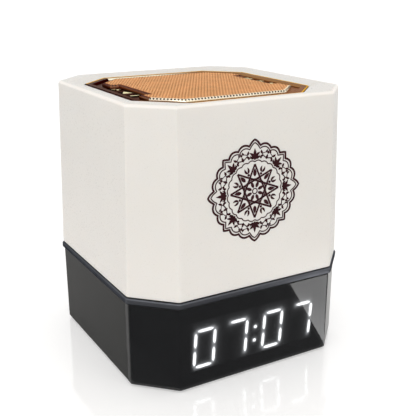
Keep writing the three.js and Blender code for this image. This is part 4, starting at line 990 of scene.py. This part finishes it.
def grille_outline():
    reach = GRILLE_REACH
    leg = BEZEL_LEG - GRILLE_INSET * LEG_TAPER
    quarter = [(NOTCH_INSET, NOTCH_REACH), (reach, NOTCH_REACH), (reach, reach - leg), (reach - leg, reach)]
    upper = quarter + [(-x, y) for x, y in reversed(quarter)]
    return [Vector(p) for p in upper + [(-x, -y) for x, y in upper]]


def rim_holes():
    """Dark discs along the rolled rim, painted as the shade inside its holes."""
    lift = 0.01 * MM
    inset = GRILLE_EASE * (1 - DIAGONAL)
    points = [(p.x, p.y, GRILLE_HIGH.z - inset + lift) for p in offset_outline(grille_outline(), inset - lift)]
    mesh = bpy.data.meshes.new("rim_holes")
    mesh.from_pydata(points, [(i, (i + 1) % len(points)) for i in range(len(points))], [])
    return along_rim(add_object("rim_holes", mesh), HOLE_PITCH, RIM_HOLE_RADIUS, HOLE_PAINTED_SHADE)


def grille_rim():
    outline = grille_outline()
    top, inner = GRILLE_HIGH.z, GRILLE_EASE + 0.15 * MM
    rolled = [(GRILLE_EASE - x, z) for x, z in arc(top - GRILLE_EASE, GRILLE_EASE, 90, 0, 5)]
    profile = [(inner, top)] + rolled + [(0, GRILLE_LOW.z), (GRILLE_SHEET, GRILLE_LOW.z),
                                         (GRILLE_SHEET, top - GRILLE_EASE), (inner, top - GRILLE_SHEET)]
    rings = [[(p.x, p.y, z) for p in offset_outline(outline, inset)] for inset, z in profile]
    piece = smooth(loft("grille_rim", rings, GRILLE_EDGE), 40)
    # The rim's front faces get the painted highlight.
    paint_faces(piece, FRONT_EDGE_PAINTED_HIGHLIGHT, lambda middle: middle.y < GRILLE_FRONT)
    return piece


def punched_cell(pitch, hole):
    """A six-sided bit of sheet with a twelve-sided hole in it."""
    corners = [polar(pitch / math.sqrt(3), math.pi / 6 + k * math.pi / 3) for k in range(6)]
    round_hole = [polar(hole, math.pi / 6 + k * math.pi / 6) for k in range(12)]
    faces = []
    for k in range(6):
        first, second, third = 6 + 2 * k, 7 + 2 * k, 6 + (2 * k + 2) % 12
        faces += [(k, second, first), (k, (k + 1) % 6, third, second)]
    return mesh_object("grille_sheet", [(*p, 0) for p in corners + round_hole], faces)


def grille_sheet():
    """The punched field, cut to the grille's plan and given its thickness."""
    field = perforated(punched_cell(HOLE_PITCH, HOLE_RADIUS), HOLE_PITCH, HOLE_COUNT, ROSE_GOLD)
    inset = GRILLE_EASE + 0.1 * MM
    notch_inset, notch_reach = NOTCH_INSET - inset, NOTCH_REACH + inset
    flat = GRILLE_REACH - inset
    leg = BEZEL_LEG - (GRILLE_INSET + inset) * LEG_TAPER
    slant = (2 * flat - leg) * DIAGONAL
    with opened(field.data, outward=False) as bm:
        for k in range(8):
            direction = Vector((*polar(1, k * math.pi / 4), 0))
            cut(bm, direction * (flat if k % 2 == 0 else slant), direction, True)
        for side in (-1, 1):
            cut(bm, (side * notch_inset, 0, 0), (side, 0, 0), False)
            cut(bm, (0, side * notch_reach, 0), (0, side, 0), False)
        gone = [face for face in bm.faces if abs(face.calc_center_median().x) > notch_inset
                and abs(face.calc_center_median().y) < notch_reach]
        bmesh.ops.delete(bm, geom=gone, context="FACES")
        bmesh.ops.translate(bm, verts=bm.verts, vec=(0, 0, GRILLE_HIGH.z - 0.001 * MM))
        bmesh.ops.recalc_face_normals(bm, faces=bm.faces)
        if sum(face.normal.z for face in bm.faces) < 0:
            bmesh.ops.reverse_faces(bm, faces=bm.faces)
    wall = field.modifiers.new("thickness", "SOLIDIFY")
    wall.thickness = GRILLE_SHEET
    wall.offset = -1
    return with_modifier(field, wall)


for grille_piece in (grille_sheet(), grille_rim(), rim_holes()):
    settle(grille_piece, "speaker_grille")


# Raised signs on the keys

SIGN_THICKNESS = 0.25 * MM
SIGN_SUNK = 0.02 * MM
SIGN_LINE = 0.95 * MM
WEDGE_SIZE = 1.8 * MM
DASH_REACH = 2.2 * MM
UPRIGHT_REACH = 2.6 * MM
STOP_PLACE = 2.6 * MM


def wedge(drawing, direction):
    """A filled arrow head with its tip towards direction."""
    steps, size = 8, WEDGE_SIZE
    shares = [t / steps for t in range(steps + 1)]
    sides = [[(side * 1.1 * size * (1 - t), -direction * size + direction * 2 * size * t) for t in shares]
             for side in (1, -1)]
    drawing.strip(*sides)


def dash(drawing, y=0.0, width=SIGN_LINE):
    drawing.stroke([(x, y) for x in (-DASH_REACH, 0, DASH_REACH)], width)


def sign_minus(drawing):
    dash(drawing, width=1.1 * MM)


def sign_plus(drawing):
    dash(drawing)
    drawing.stroke([(0, y) for y in (-UPRIGHT_REACH, 0, UPRIGHT_REACH)], SIGN_LINE)


def sign_light(drawing):
    drawing.ring(1.1 * MM, 0.6 * MM, steps=20)
    for i in range(8):
        a = Vector(polar(1.6 * MM, math.tau * i / 8))
        drawing.stroke([a, a * 1.2, a * 1.5], 0.5 * MM)


def arrow_sign(direction, stop):
    """An arrow head with a dash at its tip or behind it."""
    def draw(drawing):
        wedge(drawing, direction)
        dash(drawing, y=stop)
    return draw


SIGNS = (sign_minus, arrow_sign(1, -STOP_PLACE), sign_plus, arrow_sign(-1, -STOP_PLACE), sign_light,
         arrow_sign(1, STOP_PLACE))


def key_sign(key, draw):
    """A raised gilt sign in the middle of a key's top."""
    low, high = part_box(key)
    middle = (low + high) / 2
    drawing = Drawing(SIGN_THICKNESS)
    draw(drawing)
    # The signs' pale gilt carries a painted highlight.
    piece = lay(drawing.piece(key + "_sign", PAINTED_HIGHLIGHT_GILT),
                lambda x, y, z: (middle.x + x, middle.y + y, high.z - SIGN_SUNK + z))
    settle(piece, body=key + "_body")


for key, sign in zip(KEYS, SIGNS):
    key_sign(key, sign)


# Camera at the photograph's viewpoint

CAMERA_PLACE = Vector((-155.22, -277.26, 160.89)) * MM
CAMERA_TARGET = Vector((6.21, 0, 57.6)) * MM
FOCAL_PIXELS = 719.01
IMAGE_PIXELS = 416


def aimed(name, data, place, target):
    """A camera or light at a place, looking at a target."""
    item = add_object(name, data)
    item.location = place
    item.rotation_euler = (target - place).to_track_quat("-Z", "Y").to_euler()
    return item


def camera():
    data = bpy.data.cameras.new("photo_view")
    data.sensor_width = 36
    data.lens = FOCAL_PIXELS / IMAGE_PIXELS * data.sensor_width
    data.clip_start, data.clip_end = 0.01, 20
    bpy.context.scene.camera = aimed("photo_view", data, CAMERA_PLACE, CAMERA_TARGET)


camera()


# Floor, light and backdrop

SIDE_LIGHT = 1.2
SKY_LIGHT = 0.65
FLOOR_LIFT = 0.32
FLOOR_REACH = 6.0
ROOM_REACH = 0.9
ROOM_STRENGTH = 0.33
GLARE_STRENGTH = 5.2
GLARE_PIXELS = ((287.5, 281), (325.2, 346.5), (337, 343), (337, 262))
WHITE = (1, 1, 1)


def world():
    """Light from all round, less from above. Camera, mirror and glass rays see plain white instead."""
    surroundings = bpy.data.worlds.new("studio")
    bpy.context.scene.world = surroundings
    surroundings.use_nodes = True
    tree = Nodes(surroundings.node_tree)
    direction = tree.node("ShaderNodeTexCoord").outputs["Generated"]
    height = tree.node("ShaderNodeSeparateXYZ", direction).outputs["Z"]
    light = tree.tree.nodes["Background"]
    tree.put(light.inputs["Color"], (1, 0.985, 0.965))
    tree.put(light.inputs["Strength"], tree.spread(height, SIDE_LIGHT, SKY_LIGHT, start=0.0, end=1.0))
    seen = tree.node("ShaderNodeBackground", Color=WHITE, Strength=1.0)
    rays = tree.node("ShaderNodeLightPath").outputs
    glass = tree.math("MAXIMUM", rays["Is Glossy Ray"], rays["Is Transmission Ray"])
    looking = tree.math("MAXIMUM", rays["Is Camera Ray"], glass)
    mix = tree.node("ShaderNodeMixShader", looking, light.outputs[0], seen.outputs[0])
    tree.put(tree.tree.nodes["World Output"].inputs["Surface"], mix.outputs[0])


def floor():
    finish = Finish("floor", (0.9, 0.9, 0.9), 0.14, Specular_IOR_Level=1.0)
    finish.grain(finish.noise(30 * MM), 0.06, 0.12)
    looking = finish.node("ShaderNodeLightPath").outputs["Is Camera Ray"]
    finish.glow(WHITE, finish.math("MULTIPLY", looking, FLOOR_LIFT))
    corners = [(x * FLOOR_REACH, y * FLOOR_REACH, 0) for x, y in ((-1, -1), (1, -1), (1, 1), (-1, 1))]
    mesh_object("floor", corners, [(0, 1, 2, 3)], finish.material)


def mirrored_on_floor(pixel):
    """Where the line through a pixel meets the floor, once the window's front has turned it back."""
    x, y = ((place - IMAGE_PIXELS / 2) / FOCAL_PIXELS for place in pixel)
    ray = bpy.context.scene.camera.rotation_euler.to_matrix() @ Vector((x, -y, -1))
    touch = CAMERA_PLACE + ray * ((WINDOW_LOW.y - CAMERA_PLACE.y) / ray.y)
    ray.y = -ray.y
    return touch + ray * (touch.z / -ray.z)


def floor_card(name, places, height, strength):
    """A card just over the floor that shows in polished surfaces alone, and can't be seen from below."""
    corners = [Vector((*place[:2], height)) for place in places]
    mesh = bpy.data.meshes.new(name)
    mesh.from_pydata(corners, [], [(0, 1, 2, 3)])
    if mesh.polygons[0].normal.z < 0:
        mesh.flip_normals()
    finish = Finish(name, (0, 0, 0), 1.0, Specular_IOR_Level=0.0)
    to_the_right = finish.spread(finish.axis("X"), 0.75, 1.0, start=corners[0].x, end=corners[2].x)
    finish.glow(WHITE, finish.math("MULTIPLY", to_the_right, strength))
    from_below = finish.node("ShaderNodeNewGeometry").outputs["Backfacing"]
    finish.set(Alpha=finish.math("SUBTRACT", 1.0, from_below))
    mesh.materials.append(finish.material)
    piece = add_object(name, mesh)
    for rays in ("camera", "diffuse", "transmission", "volume_scatter", "shadow"):
        setattr(piece, "visible_" + rays, False)


def mirrored_room():
    """A dim room, and over it a lit patch whose slanted edge runs across the window's right side."""
    reach, near, corner = ROOM_REACH, WINDOW_LOW.y - 1 * MM, HALF - CHAMFER_LEG
    front = ((-reach, near), (-reach, -reach), (reach, -reach), (reach, near))
    side = ((-reach, near), (-corner - 3 * MM, near), (-HALF - 2 * MM, -corner), (-reach, -corner))
    floor_card("dim_card", front, 0.4 * MM, ROOM_STRENGTH)
    floor_card("dim_card_side", side, 0.4 * MM, ROOM_STRENGTH)
    floor_card("light_patch", [mirrored_on_floor(pixel) for pixel in GLARE_PIXELS], 0.8 * MM, GLARE_STRENGTH)


def key_light():
    data = bpy.data.lights.new("key_light", "AREA")
    data.shape = "RECTANGLE"
    data.size, data.size_y = 0.6, 0.6
    data.energy = 2.1
    aimed("key_light", data, Vector((-0.55, -0.75, 0.5)), Vector((0, 0, 0.06)))


world()
floor()
mirrored_room()
key_light()

bpy.context.scene.view_settings.view_transform = "Standard"
